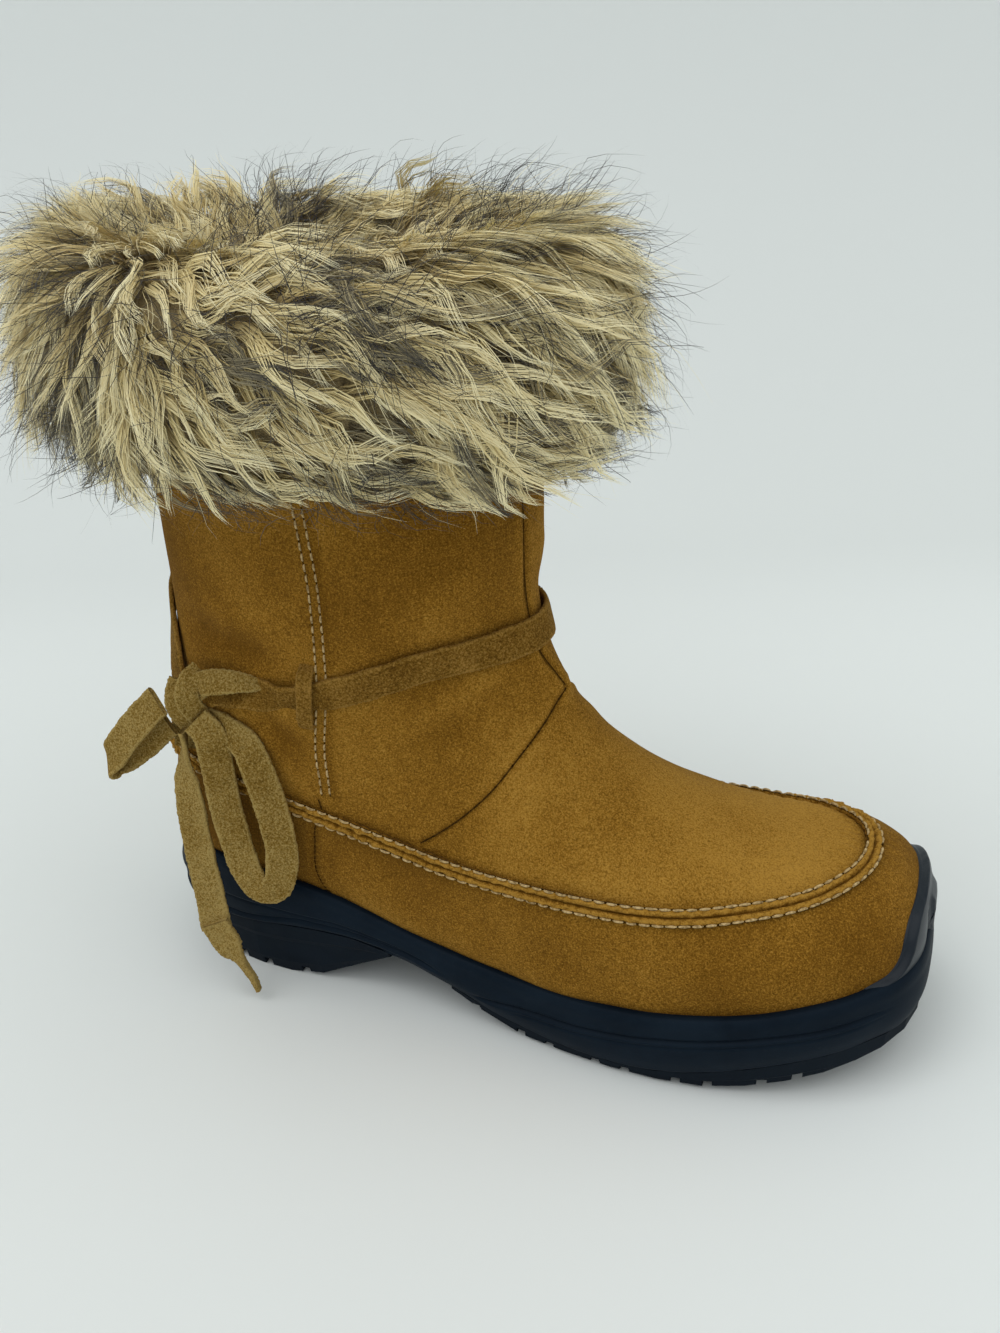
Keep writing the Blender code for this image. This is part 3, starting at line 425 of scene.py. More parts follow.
def add_object(name, data):
    item = bpy.data.objects.new(name, data)
    bpy.context.scene.collection.objects.link(item)
    return item


def set_tone(piece, tones):
    """How much paler or darker than its material the piece is at each vertex."""
    values = np.asarray(tones, np.float32)
    piece.data.attributes.new("tone", "FLOAT", "POINT").data.foreach_set("value", values)


def mesh_piece(name, vertices, faces, materials, replaces=(), indices=None):
    """A piece from arrays. Faces are one array for each size of face."""
    groups = faces if isinstance(faces, list) else [faces]
    groups = [np.asarray(group, np.int32) for group in groups if len(group)]
    mesh = bpy.data.meshes.new(name)
    mesh.vertices.add(len(vertices))
    mesh.vertices.foreach_set("co", np.asarray(vertices, np.float32).ravel())
    corners = np.concatenate([group.ravel() for group in groups])
    sizes = np.concatenate([np.full(len(group), group.shape[1]) for group in groups])
    mesh.loops.add(len(corners))
    mesh.loops.foreach_set("vertex_index", corners)
    mesh.polygons.add(len(sizes))
    starts = np.concatenate([[0], np.cumsum(sizes)[:-1]])
    mesh.polygons.foreach_set("loop_start", starts.astype(np.int32))
    mesh.polygons.foreach_set("loop_total", sizes.astype(np.int32))
    for material in materials if isinstance(materials, list) else [materials]:
        mesh.materials.append(material)
    if indices is not None:
        mesh.polygons.foreach_set("material_index", np.asarray(indices, np.int32))
    mesh.update(calc_edges=True)
    mesh.validate()
    mesh.shade_smooth()
    piece = add_object(name, mesh)
    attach(piece, "root")
    if replaces:
        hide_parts(*replaces)
    return piece


def grid_faces(rows, columns, closed=True, looped=False):
    """Quads of a grid, wound so that rows by columns faces outward. A closed one joins
    its last column to its first, and a looped one its last row to its first."""
    row_range = np.arange(rows if looped else rows - 1)
    i, j = np.meshgrid(row_range, np.arange(columns if closed else columns - 1), indexing="ij")
    here, beyond = i * columns, (i + 1) % rows * columns
    k = (j + 1) % columns
    return np.stack([here + j, here + k, beyond + k, beyond + j], -1).reshape(-1, 4)


def drop_loose(piece, used, total):
    """Deletes the vertices that no face uses."""
    loose = np.setdiff1d(np.arange(total), used)
    work = bmesh.new()
    work.from_mesh(piece.data)
    work.verts.ensure_lookup_table()
    bmesh.ops.delete(work, geom=[work.verts[i] for i in loose], context="VERTS")
    work.to_mesh(piece.data)
    work.free()


class Shader:
    """A node material whose colour, roughness and bump are added in a few calls."""

    def __init__(self, name, roughness, **values):
        self.material = bpy.data.materials.new(name)
        self.material.use_nodes = True
        self.nodes = self.material.node_tree.nodes
        self.links = self.material.node_tree.links
        self.surface = self.nodes["Principled BSDF"]
        self.surface.inputs["Roughness"].default_value = roughness
        for key, value in values.items():
            self.surface.inputs[key.replace("_", " ")].default_value = value
        self.coordinates = self.nodes.new("ShaderNodeTexCoord").outputs["Object"]

    def node(self, kind, inputs=(), **settings):
        node = self.nodes.new(kind)
        for key, value in settings.items():
            setattr(node, key, value)
        for key, value in dict(inputs).items():
            if isinstance(value, bpy.types.NodeSocket):
                self.links.new(value, node.inputs[key])
            else:
                node.inputs[key].default_value = value
        return node

    def stretched(self, scale):
        return self.node("ShaderNodeMapping", {"Vector": self.coordinates, "Scale": scale}).outputs[0]

    def noise(self, scale, detail=3.0, roughness=0.55, vector=None, distortion=0.0):
        inputs = {
            "Vector": vector or self.coordinates,
            "Scale": scale,
            "Detail": detail,
            "Roughness": roughness,
            "Distortion": distortion,
        }
        return self.node("ShaderNodeTexNoise", inputs).outputs["Fac"]

    def ramp(self, value, stops):
        node = self.node("ShaderNodeValToRGB", {"Fac": value})
        elements = node.color_ramp.elements
        while len(elements) < len(stops):
            elements.new(0.5)
        for element, (place, colour) in zip(elements, stops):
            element.position = place
            element.color = (*colour, 1.0) if len(colour) == 3 else colour
        return node.outputs["Color"]

    def math(self, operation, first, second=0.0, third=0.0):
        node = self.node("ShaderNodeMath", {0: first, 1: second, 2: third}, operation=operation)
        return node.outputs[0]

    def mix(self, share, first, second, blend="MIX"):
        inputs = {"Factor": share}
        node = self.node("ShaderNodeMix", inputs, data_type="RGBA", blend_type=blend)
        for socket, value in ((node.inputs[6], first), (node.inputs[7], second)):
            if isinstance(value, bpy.types.NodeSocket):
                self.links.new(value, socket)
            else:
                socket.default_value = (*value, 1.0)
        return node.outputs[2]

    def attribute(self, name):
        return self.node("ShaderNodeAttribute", attribute_name=name).outputs["Fac"]

    def bump(self, height, strength, distance, normal=None):
        inputs = {"Height": height, "Strength": strength, "Distance": distance}
        if normal:
            inputs["Normal"] = normal
        return self.node("ShaderNodeBump", inputs).outputs["Normal"]

    def finish(self, colour=None, roughness=None, normal=None):
        for key, value in (("Base Color", colour), ("Roughness", roughness), ("Normal", normal)):
            if value is not None:
                self.links.new(value, self.surface.inputs[key])
        return self.material


def suede_material(name, dark, mid, light, grain=1.0):
    """Napped suede: cloudy brushing marks, fine mottling and a fibrous bump."""
    sheen = {"Sheen_Weight": 0.05, "Sheen_Roughness": 0.5, "Sheen_Tint": (1.0, 0.72, 0.36, 1.0)}
    made = Shader(name, 0.95, Specular_IOR_Level=0.04, **sheen)
    clouds = made.noise(17.0, 2.0, 0.5, distortion=0.4)
    brushed = made.noise(120.0, 4.0, 0.65, vector=made.stretched((1.0, 1.0, 0.5)), distortion=1.2)
    fine = made.noise(1700.0 * grain, 3.0, 0.75)
    value = made.math("MULTIPLY", clouds, 0.20)
    value = made.math("MULTIPLY_ADD", brushed, 0.10, value)
    value = made.math("MULTIPLY_ADD", fine, 0.70, value)
    value = made.math("MULTIPLY_ADD", made.attribute("tone"), 0.6, value)
    colour = made.ramp(value, [(0.39, dark), (0.50, mid), (0.61, light)])
    pores = made.noise(1100.0 * grain, 3.0, 0.8)
    specks = made.ramp(pores, [(0.36, (0.50, 0.48, 0.42)), (0.52, (1.0, 1.0, 1.0))])
    colour = made.mix(0.6, colour, specks, "MULTIPLY")
    rough = made.math("MULTIPLY_ADD", brushed, 0.15, fine)
    normal = made.bump(rough, 0.6, 0.0006)
    return made.finish(colour, None, normal)


def rubber_material(name, base, rubbed_sheen_colour, roughness, gloss):
    """Moulded dark rubber with a fine grain, dusty specks, and paler patches that are partly rubbed wear and
    partly painted sheen.
    """
    made = Shader(name, roughness, Specular_IOR_Level=gloss)
    clouds = made.noise(38.0, 5.0, 0.62, distortion=0.4)
    fine = made.noise(1500.0, 2.0, 0.5)
    colour = made.ramp(clouds, [(0.32, base), (0.72, rubbed_sheen_colour)])
    dust = made.ramp(made.noise(420.0, 3.0, 0.75), [(0.60, (0, 0, 0)), (0.80, (1, 1, 1))])
    colour = made.mix(made.math("MULTIPLY", dust, 0.16), colour, (0.035, 0.042, 0.05))
    rough = made.math("MULTIPLY_ADD", clouds, 0.28, roughness - 0.12)
    return made.finish(colour, rough, made.bump(fine, 0.25, 0.00025))


# Dark colour of the gaps where panels meet and of the painted shadow along the stitch rows
def gap_and_shadow_material():
    made = Shader("gap", 1.0, Specular_IOR_Level=0.0)
    worn = made.noise(1400.0, 2.0, 0.6)
    colour = made.ramp(worn, [(0.35, (0.018, 0.009, 0.002)), (0.65, (0.085, 0.042, 0.008))])
    return made.finish(colour)


def thread_material():
    made = Shader("thread", 0.8, Specular_IOR_Level=0.2)
    twist = made.noise(900.0, 2.0, 0.6)
    colour = made.ramp(twist, [(0.34, (0.24, 0.155, 0.058)), (0.62, (0.60, 0.435, 0.205))])
    return made.finish(colour, None, made.bump(twist, 0.5, 0.0004))


def fleece_material():
    made = Shader("fleece", 1.0, Sheen_Weight=0.5)
    curls = made.noise(230.0, 4.0, 0.7, distortion=1.5)
    colour = made.ramp(curls, [(0.30, (0.16, 0.115, 0.07)), (0.68, (0.52, 0.43, 0.30))])
    return made.finish(colour, None, made.bump(curls, 1.0, 0.002))


def fur_material():
    """Colour of a strand from its two map values: across is the strand's tint, and up
    runs from root to tip."""
    made = Shader("fur", 0.62, Sheen_Weight=0.15, Specular_IOR_Level=0.25)
    spot = made.node("ShaderNodeUVMap", uv_map="OFBake").outputs["UV"]
    parts = made.node("ShaderNodeSeparateXYZ", {"Vector": spot})
    tint, along = parts.outputs["X"], parts.outputs["Y"]
    roots_to_tips = [
        [(0.0, (0.36, 0.255, 0.10)), (0.35, (0.82, 0.68, 0.33)), (1.0, (1.0, 0.93, 0.62))],
        [(0.0, (0.24, 0.16, 0.050)), (0.4, (0.60, 0.455, 0.18)), (1.0, (0.92, 0.78, 0.43))],
        [(0.0, (0.14, 0.105, 0.05)), (0.4, (0.34, 0.29, 0.17)), (0.9, (0.030, 0.031, 0.034))],
        [(0.0, (0.06, 0.05, 0.04)), (1.0, (0.008, 0.009, 0.011))],
    ]
    colour, *others = [made.ramp(along, stops) for stops in roots_to_tips]
    for (low, high), other in zip(((0.25, 0.45), (0.55, 0.68), (0.80, 0.90)), others):
        colour = made.mix(made.ramp(tint, [(low, (0, 0, 0)), (high, (1, 1, 1))]), colour, other)
    return made.finish(colour)


def undercoat_material():
    made = Shader("undercoat", 1.0)
    tufts = made.noise(160.0, 4.0, 0.7)
    colour = made.ramp(tufts, [(0.30, (0.15, 0.11, 0.05)), (0.70, (0.46, 0.36, 0.18))])
    return made.finish(colour, None, made.bump(tufts, 1.0, 0.003))


SUEDE = suede_material("suede", (0.146, 0.064, 0.0058), (0.280, 0.134, 0.0150), (0.45, 0.240, 0.040))
STRAP_SUEDE = suede_material(
    "strap_suede", (0.110, 0.060, 0.010), (0.220, 0.128, 0.023), (0.38, 0.270, 0.090), 0.85
)
STRAP_BROWN = suede_material(
    "strap_brown", (0.088, 0.040, 0.005), (0.172, 0.086, 0.011), (0.32, 0.180, 0.040), 0.8
)
RUBBER = rubber_material("sidewall_rubber", (0.0034, 0.0080, 0.0145), (0.0070, 0.0142, 0.0235), 0.52, 0.06)
BUMPER = rubber_material("bumper_rubber", (0.0046, 0.0088, 0.0145), (0.0092, 0.0150, 0.0215), 0.36, 0.26)
TREAD = rubber_material("tread_rubber", (0.0030, 0.0062, 0.0110), (0.0065, 0.0118, 0.0185), 0.62, 0.08)
GAP_AND_THREAD_SHADOW = gap_and_shadow_material()
THREAD = thread_material()
FLEECE = fleece_material()
FUR = fur_material()
UNDERCOAT = undercoat_material()


def on_form(rows):
    """Points on the form from rows of (place, angle in degrees), smoothed and spaced."""
    read = even_rows(rows, 60)
    return form_at(read[:, 0], np.radians(read[:, 1]))


def measure(points, normals, line, reach=0.02):
    """Each point's distance to a line, with a sign for its side, and its share along."""
    best = np.full(len(points), np.inf)
    signed = np.full(len(points), reach)
    along = np.zeros(len(points))
    low, high = line.min(axis=0) - reach, line.max(axis=0) + reach
    near = np.where(((points > low) & (points < high)).all(axis=1))[0]
    p, n = points[near], normals[near]
    steps = lengths(np.diff(line, axis=0))
    starts = np.concatenate([[0], np.cumsum(steps)])
    for k in range(len(line) - 1):
        step = line[k + 1] - line[k]
        share = np.clip((p - line[k]) @ step / (step @ step + 1e-18), 0, 1)
        gap = p - line[k] - share[:, None] * step
        distance = lengths(gap)
        closer = distance < best[near]
        side = np.sign(dots(np.cross(step, n), gap))
        index = near[closer]
        best[index] = distance[closer]
        signed[index] = (distance * side)[closer]
        along[index] = ((starts[k] + share * steps[k]) / starts[-1])[closer]
    return signed, along


def moc_line():
    outer, inner = level_path(seam_height)
    loop = np.concatenate([outer, inner[::-1]])
    return form_at(loop[:, 0], loop[:, 1])


MOC_LINE = moc_line()
# Other seams by (place, angle from the front over the outer side)
SIDE_SEAM = [
    (0.95, 85), (0.90, 83.6), (0.85, 82), (0.80, 81), (0.75, 80), (0.71, 79.5), (0.68, 81.5), (0.66, 84.5),
]
VAMP_SEAM = [(0.570, 5), (0.562, 24), (0.562, 42), (0.563, 53), (0.568, 64), (0.575, 74), (0.581, 81)]
FRONT_SEAM = [(1.0, 7), (0.92, 7), (0.84, 8), (0.76, 9), (0.68, 9), (0.615, 7), (0.575, 5)]
HEEL_SEAM = [(0.665, 88), (0.648, 91), (0.630, 97), (0.612, 111), (0.600, 124)]
BACK_SEAM = [(1.0, 180), (0.90, 180), (0.80, 180), (0.72, 180)]
SEAM_LINES = [VAMP_SEAM, FRONT_SEAM, HEEL_SEAM, BACK_SEAM]
# Soft creases, with painted shade in their troughs and painted light on their ridges: rows of (place, angle),
# depth and half width in millimetres
CREASES = [
    ([(0.64, 14), (0.630, 30), (0.640, 48), (0.655, 60)], 1.1, 5.0),
    ([(0.600, 8), (0.592, 22), (0.598, 40), (0.610, 52)], 0.8, 4.0),
    ([(0.560, 8), (0.548, 24), (0.545, 44)], 0.7, 4.5),
    ([(0.70, 20), (0.695, 40), (0.705, 60), (0.71, 74)], 0.7, 5.5),
    ([(0.72, 96), (0.74, 112), (0.77, 128), (0.80, 145)], 1.0, 6.0),
    ([(0.68, 100), (0.69, 120), (0.70, 138), (0.72, 155)], 1.1, 5.0),
    ([(0.82, 100), (0.80, 118), (0.79, 136)], 0.8, 6.0),
    ([(0.86, 40), (0.82, 52), (0.79, 66)], 0.5, 6.5),
    ([(0.505, 30), (0.490, 46), (0.480, 62)], 0.5, 5.0),
    ([(0.440, 6), (0.425, 26), (0.415, 46)], 0.4, 6.0),
    ([(0.645, -14), (0.632, -32), (0.645, -52)], 1.0, 5.0),
    ([(0.598, -8), (0.590, -26), (0.602, -46)], 0.8, 4.0),
    ([(0.70, -18), (0.70, -42), (0.71, -66)], 0.7, 5.5),
    ([(0.70, -96), (0.72, -118), (0.76, -140)], 1.0, 6.0),
    ([(0.55, -10), (0.545, -32), (0.55, -50)], 0.6, 4.5),
    ([(0.850, 138), (0.840, 124), (0.828, 113), (0.812, 102), (0.797, 94)], 1.5, 5.5),
    ([(0.715, 88), (0.735, 92), (0.755, 98), (0.768, 108)], 1.1, 4.5),
    ([(0.262, 29), (0.233, 25), (0.205, 17)], 0.35, 1.6),
    ([(0.250, 35), (0.222, 31), (0.195, 23)], 0.30, 1.5),
    ([(0.272, 22), (0.245, 17), (0.222, 10)], 0.25, 1.5),
    ([(0.790, 74), (0.782, 59), (0.776, 42), (0.785, 22)], -0.7, 6.0),
]

# Tones of whole areas: painted shade on the shaft, the wall below the seam, and painted light on what faces
# up above the seam and below it
SHAFT_PAINTED_SHADE, WALL_TONE, TOP_PAINTED_LIGHT, LEDGE_PAINTED_LIGHT = -0.075, -0.055, 0.085, 0.02
# Painted shade in hollows by the knot and loop, darker spots on the shaft's back and the wall by the toe, and
# painted light on the toe and vamp tops: place, angle, reach in millimetres, tone
SHADE_AND_LIGHT_SPOTS = [
    (0.826, 125, 10, -0.10),
    (0.820, 109, 10, -0.10),
    (0.800, 140, 13, -0.05),
    (0.738, 94, 8, -0.10),
    (0.716, 88, 9, -0.12),
    (0.900, 150, 22, -0.04),
    (0.200, 15, 22, 0.09),
    (0.330, 25, 26, 0.05),
    (0.150, 80, 22, -0.05),
]


def mirrored(rows):
    return [(place, -angle) for place, angle in rows]


def crease_relief(points, normals, rows, depth, width):
    """A soft trough with a low ridge on each side, fading out at both ends."""
    signed, along = measure(points, normals, on_form(rows))
    d = np.abs(signed) / (width / 1000)
    fade = np.clip(np.sin(np.pi * np.clip(along, 0, 1)), 0, 1) ** 0.7
    shape = 0.5 * bell(d - 1.9, 0.9) - np.exp(-(d**2))
    return np.where(np.abs(signed) < 0.0199, shape * fade * depth / 1000, 0)


def seam_relief(signed, depth=0.0006, width=0.0007, puff=0.00035):
    """A narrow stitched line with the suede puffed up on both sides."""
    d = np.abs(signed)
    return puff * bell(d - 3.2 * width, 2.2 * width) - depth * bell(d, width)


def upper_grid():
    """Places and angles of the upper's rows and columns, at about even steps."""
    rows, columns = UPPER_GRID
    middle = np.linspace(0, 1, 1200)
    quarters = (0.0, 1.6, 3.14, 4.7)
    steps = np.mean([lengths(np.diff(form_at(middle, a), axis=0)) for a in quarters], 0)
    travelled = np.concatenate([[0], np.cumsum(steps)])
    places = np.interp(np.linspace(0, travelled[-1], rows), travelled, middle)
    dense = np.linspace(0, FULL_TURN, 1441)
    sections = form_at(places[:, None], dense[None, :])
    runs = np.cumsum(np.linalg.norm(np.diff(sections, axis=1), axis=2), axis=1)
    angles = []
    for run in runs:
        length = np.concatenate([[0], run])
        angles.append(np.interp(np.linspace(0, length[-1], columns + 1)[:-1], length, dense))
    return np.repeat(places[:, None], columns, 1), np.array(angles)


# Broad swells of the suede: height, pitch and seed of each wave
SWELLS = [(0.00055, 0.055, 3), (0.00022, 0.022, 4)]
# Gathers along the raised seam, the step where the quarter laps the vamp, the point over
# the instep, and the fold down the shaft's front: metres, degrees
GATHERS, GATHER_DEPTH = 118, 0.00022
LAP_STEP = 0.0007
PEAK, PEAK_RISE, PEAK_REACH = (0.588, math.radians(4)), 0.0016, 0.006
FOLD_HEIGHTS, FOLD_ANGLE, FOLD_WIDTH, FOLD_RISE = (0.157, 0.176), -8, 13.0, 0.0028
# Seams between panels, and how deep each is drawn in
PANEL_SEAMS = [
    (VAMP_SEAM, 0.0007),
    (mirrored(VAMP_SEAM), 0.0007),
    (FRONT_SEAM, 0.0009),
    (HEEL_SEAM, 0.0005),
    (mirrored(HEEL_SEAM), 0.0005),
    (BACK_SEAM, 0.0007),
]


def upper_relief(flat_points, flat_normals, angles):
    """How far the suede stands off its plain form at each point, and its tone there, which holds painted
    shade and light.
    """
    relief = sum(height * wave(flat_points, pitch, seed) for height, pitch, seed in SWELLS)
    tone = 0.045 * wave(flat_points, 0.06, 5)
    moc, along = measure(flat_points, flat_normals, np.vstack([MOC_LINE, MOC_LINE[:1]]))
    above = flat_points[:, 2] > seam_height(flat_points[:, 0])
    gap = np.abs(moc)
    relief += np.where(above, -0.0008, 0.0006) * bell(gap, 0.006)
    gathers = np.sin(along * FULL_TURN * GATHERS + 1.5 * wave(flat_points, 0.03, 8))
    toe = smoothstep(flat_points[:, 0], 0.13, 0.20)
    relief += np.where(above, 1, 0.5) * gathers * GATHER_DEPTH * bell(gap - 0.007, 0.005) * toe
    # Painted shade along both sides of the raised seam; the suede above it is paler and below it darker
    tone += -0.10 * bell(gap, 0.0045) + np.where(above, 0.035, -0.015)
    for rows_of, sign in ((SIDE_SEAM, 1), (mirrored(SIDE_SEAM), -1)):
        signed = measure(flat_points, flat_normals, on_form(rows_of))[0]
        lap = smoothstep(signed * sign, -0.0004, 0.0004)
        relief += LAP_STEP * (lap - 0.5) * bell(signed, 0.008)
        relief += seam_relief(signed - sign * 0.0018, 0.0002, 0.0009, 0.0001)
        # Painted shade at the foot of the lap's step
        tone += -0.10 * bell(signed * sign + 0.0006, 0.0011)
    for rows_of, depth in PANEL_SEAMS:
        signed = measure(flat_points, flat_normals, on_form(rows_of))[0]
        relief += seam_relief(signed, depth)
        tone += 0.03 * bell(np.abs(signed) - 0.0028, 0.002) - 0.13 * bell(signed, 0.0009)
    for rows_of, depth, width in CREASES:
        bend = crease_relief(flat_points, flat_normals, rows_of, depth, width)
        relief += bend
        # Painted shade in the crease's trough and painted light on its ridges
        tone += bend * 40
    # Spots of painted shade in hollows and of painted light on the toe and vamp tops
    for place, angle, reach, shade in SHADE_AND_LIGHT_SPOTS:
        spot = form_at(place, math.radians(angle))
        tone += shade * bell(lengths(flat_points - spot), reach / 1000)
    # Painted shade on the shaft, a darker wall below the seam, and painted light on what faces up
    tone += SHAFT_PAINTED_SHADE * smoothstep(flat_points[:, 2], 0.085, 0.15) + np.where(above, 0, WALL_TONE)
    tone += np.where(above, TOP_PAINTED_LIGHT, LEDGE_PAINTED_LIGHT) * smoothstep(flat_normals[:, 2], 0.50, 0.95)
    relief += PEAK_RISE * bell(lengths(flat_points - form_at(*PEAK)), PEAK_REACH)
    turned = np.degrees((angles + math.pi) % FULL_TURN - math.pi)
    fold = smoothstep(flat_points[:, 2], *FOLD_HEIGHTS) * bell(turned - FOLD_ANGLE, FOLD_WIDTH)
    relief += FOLD_RISE * fold
    tone += 0.05 * fold
    collar = smoothstep(flat_points[:, 2], SHAFT_HEIGHT - 0.004, SHAFT_HEIGHT)
    toe_cap = smoothstep(flat_points[:, 0], HEEL_BACK + 0.985 * UPPER_LENGTH, HEEL_BACK + UPPER_LENGTH)
    hidden = flat_points[:, 2] < rim_height(flat_points[:, 0]) - 0.001
    relief = relief * (1 - collar) * (1 - toe_cap)
    return np.where(hidden, np.minimum(relief, 0), relief), tone


def make_upper():
    """The upper as one shell: suede outside, fleece inside, open at the collar and over
    the insole. Returns its outer surface, for pieces laid on it."""
    rows, columns = UPPER_GRID
    place_grid, angles = upper_grid()
    points = form_at(place_grid, angles)
    normals = form_normals(place_grid, angles)
    flat_points, flat_normals = points.reshape(-1, 3), normals.reshape(-1, 3)
    relief, tone = upper_relief(flat_points, flat_normals, angles.ravel())
    outer = flat_points + flat_normals * relief[:, None]
    tree = BVHTree.FromPolygons(list(map(Vector, outer)), grid_faces(rows, columns).tolist())

    inward = normals[::2, ::2].reshape(-1, 3)
    inside = points[::2, ::2].reshape(-1, 3) - inward * WALL
    below_collar = points[::2, ::2, 2].reshape(-1) < SHAFT_HEIGHT - 0.003
    curls = 0.0004 * wave(inside, 0.006, 11)
    inside = inside + inward * np.where(below_collar, curls, 0)[:, None]
    small_rows, small_columns = (rows + 1) // 2, columns // 2
    low = bed_height(points[..., 0]) + INSOLE_THICKNESS + CLEARANCE
    above_bed = points[..., 2] > low
    cells = np.zeros((small_rows - 1, small_columns), bool)
    for i in range(small_rows - 1):
        block = above_bed[2 * i : 2 * i + 3]
        for j in range(small_columns):
            cells[i, j] = block[:, [2 * j, 2 * j + 1, (2 * j + 2) % columns]].any()
    start = len(outer)
    quads, tris, quad_slots, tri_slots = [], [], [], []

    def out(i, j):
        return i * columns + j % columns

    def into(i, j):
        return start + i * small_columns + j % small_columns

    for i, j in zip(*np.where(cells)):
        for a in (0, 1):
            for b in (0, 1):
                r, c = 2 * i + a, 2 * j + b
                quads.append((out(r, c), out(r, c + 1), out(r + 1, c + 1), out(r + 1, c)))
                quad_slots.append(0)
        quads.append((into(i, j), into(i + 1, j), into(i + 1, j + 1), into(i, j + 1)))
        quad_slots.append(1)
        sides = (
            (i == 0 or not cells[i - 1, j], (i, j + 1), (i, j)),
            (i == small_rows - 2 or not cells[i + 1, j], (i + 1, j), (i + 1, j + 1)),
            (not cells[i, j - 1], (i, j), (i + 1, j)),
            (not cells[i, (j + 1) % small_columns], (i + 1, j + 1), (i, j + 1)),
        )
        for is_edge, first, last in sides:
            if not is_edge or (i == 0 and first[0] == 0 and last[0] == 0):
                continue
            half = (first[0] + last[0], first[1] + last[1])
            a, b = into(*first), into(*last)
            p, q, r = out(2 * first[0], 2 * first[1]), out(*half), out(2 * last[0], 2 * last[1])
            quads.append((a, b, q, p))
            tris.append((b, r, q))
            quad_slots.append(1)
            tri_slots.append(1)
    vertices = [*outer, *inside, outer[:columns].mean(axis=0), inside[:small_columns].mean(axis=0)]
    tip_out, tip_in = len(vertices) - 2, len(vertices) - 1
    tris += [(tip_out, out(0, j + 1), out(0, j)) for j in range(columns)]
    tris += [(tip_in, into(0, j), into(0, j + 1)) for j in range(small_columns)]
    slots = quad_slots + tri_slots + [0] * columns + [1] * small_columns
    materials = [SUEDE, FLEECE]
    piece = mesh_piece("suede_upper", vertices, [quads, tris], materials, ["upper"], slots)
    set_tone(piece, np.concatenate([tone, np.zeros(len(vertices) - len(tone))]))
    used = np.unique(np.concatenate([np.ravel(quads), np.ravel(tris)]))
    drop_loose(piece, used, len(vertices))
    return tree


SURFACE = make_upper()


def form_tree():
    """A tree of the plain outer form, for pieces laid on it."""
    rows, columns = 160, 180
    angles = np.linspace(0, FULL_TURN, columns, endpoint=False)
    points = form_at(np.linspace(0, 1, rows)[:, None], angles[None, :]).reshape(-1, 3)
    return BVHTree.FromPolygons(list(map(Vector, points)), grid_faces(rows, columns).tolist())


TREE = form_tree()


def laid(points, tree):
    """The nearest points of a surface and its outward directions there."""
    found = [tree.find_nearest(Vector(point))[:2] for point in points]
    spots, directions = (np.array(vectors) for vectors in zip(*found))
    centre = np.array([HEEL_BACK + 0.45 * UPPER_LENGTH, 0.0, 0.05])
    outward = np.sign(dots(directions, spots - centre))
    return spots, directions * outward[:, None]


def smoothed(values, rounds, axis=0):
    """Values smoothed along a closed row."""
    for _ in range(rounds):
        values = (np.roll(values, 1, axis=axis) + 2 * values + np.roll(values, -1, axis=axis)) / 4
    return values


def eased(values, rounds):
    """Values smoothed along an open row, with its ends kept."""
    for _ in range(rounds):
        inner = (values[:-2] + 2 * values[1:-1] + values[2:]) / 4
        values = np.concatenate([values[:1], inner, values[-1:]])
    return values


def raised(points, normals, rounds=3):
    """Points of the plain form moved out or in to the surface with its relief."""
    lifts = []
    for point, normal in zip(points, normals):
        start = Vector(point + normal * PROBE)
        spot, _, _, distance = SURFACE.ray_cast(start, Vector(-normal), 2 * PROBE)
        lifts.append(0.0 if spot is None else PROBE - distance)
    return points + normals * eased(np.array(lifts), rounds)[:, None]


def make_seam_lines():
    """Narrow dark strips: fine gaps where panels meet, just clear of the suede, and painted shadow along the
    stitch rows.
    """
    vertices, faces = [], []

    def add(line, normals, width, lift, clear):
        across, out = np.broadcast_to(width, len(line)) / 2, np.full(len(line), lift)
        offset = np.stack([np.stack([-across, out], 1), np.stack([across, out], 1)], 1)
        strip = profile_sweep(line, normals, offset, False) + normals[:, None] * clear
        faces.append(grid_faces(len(line), 2, False) + sum(map(len, vertices)))
        vertices.append(strip.reshape(-1, 3))

    for table in SEAM_LINES:
        line, at = spaced(on_form(table), 0.0008)
        line, normals = laid(line, TREE)
        normals = unit(eased(normals, 12))
        line = raised(eased(line, 3), normals)
        add(line, normals, 0.00055 * (1 + 0.35 * np.sin(at * 2100) * np.sin(at * 790)), 0.0, 0.0003)
    # Painted shadow of the thread along the side stitch rows
    for row in SIDE_ROWS:
        add(*row, 0.00045, 0.00022, 0.0)
    # Painted shadow of the thread along the raised seam's stitch rows
    for row in STITCH_ROWS:
        add(*row, 0.00085, -0.00012, 0.0)
    mesh_piece("seam_gaps_and_thread_shadow", np.concatenate(vertices), np.concatenate(faces), GAP_AND_THREAD_SHADOW)


def profile_sweep(points, normals, profile, closed):
    """Rings of a profile of (across, out) carried along a line."""
    if closed:
        along = np.roll(points, -1, axis=0) - np.roll(points, 1, axis=0)
    else:
        along = np.gradient(points, axis=0)
    along = unit(along)
    across = unit(np.cross(along, normals))
    outward = np.cross(across, along)
    wide, high = np.moveaxis(np.asarray(profile, float), -1, 0)[..., None]
    return points[:, None] + across[:, None] * wide + outward[:, None] * high


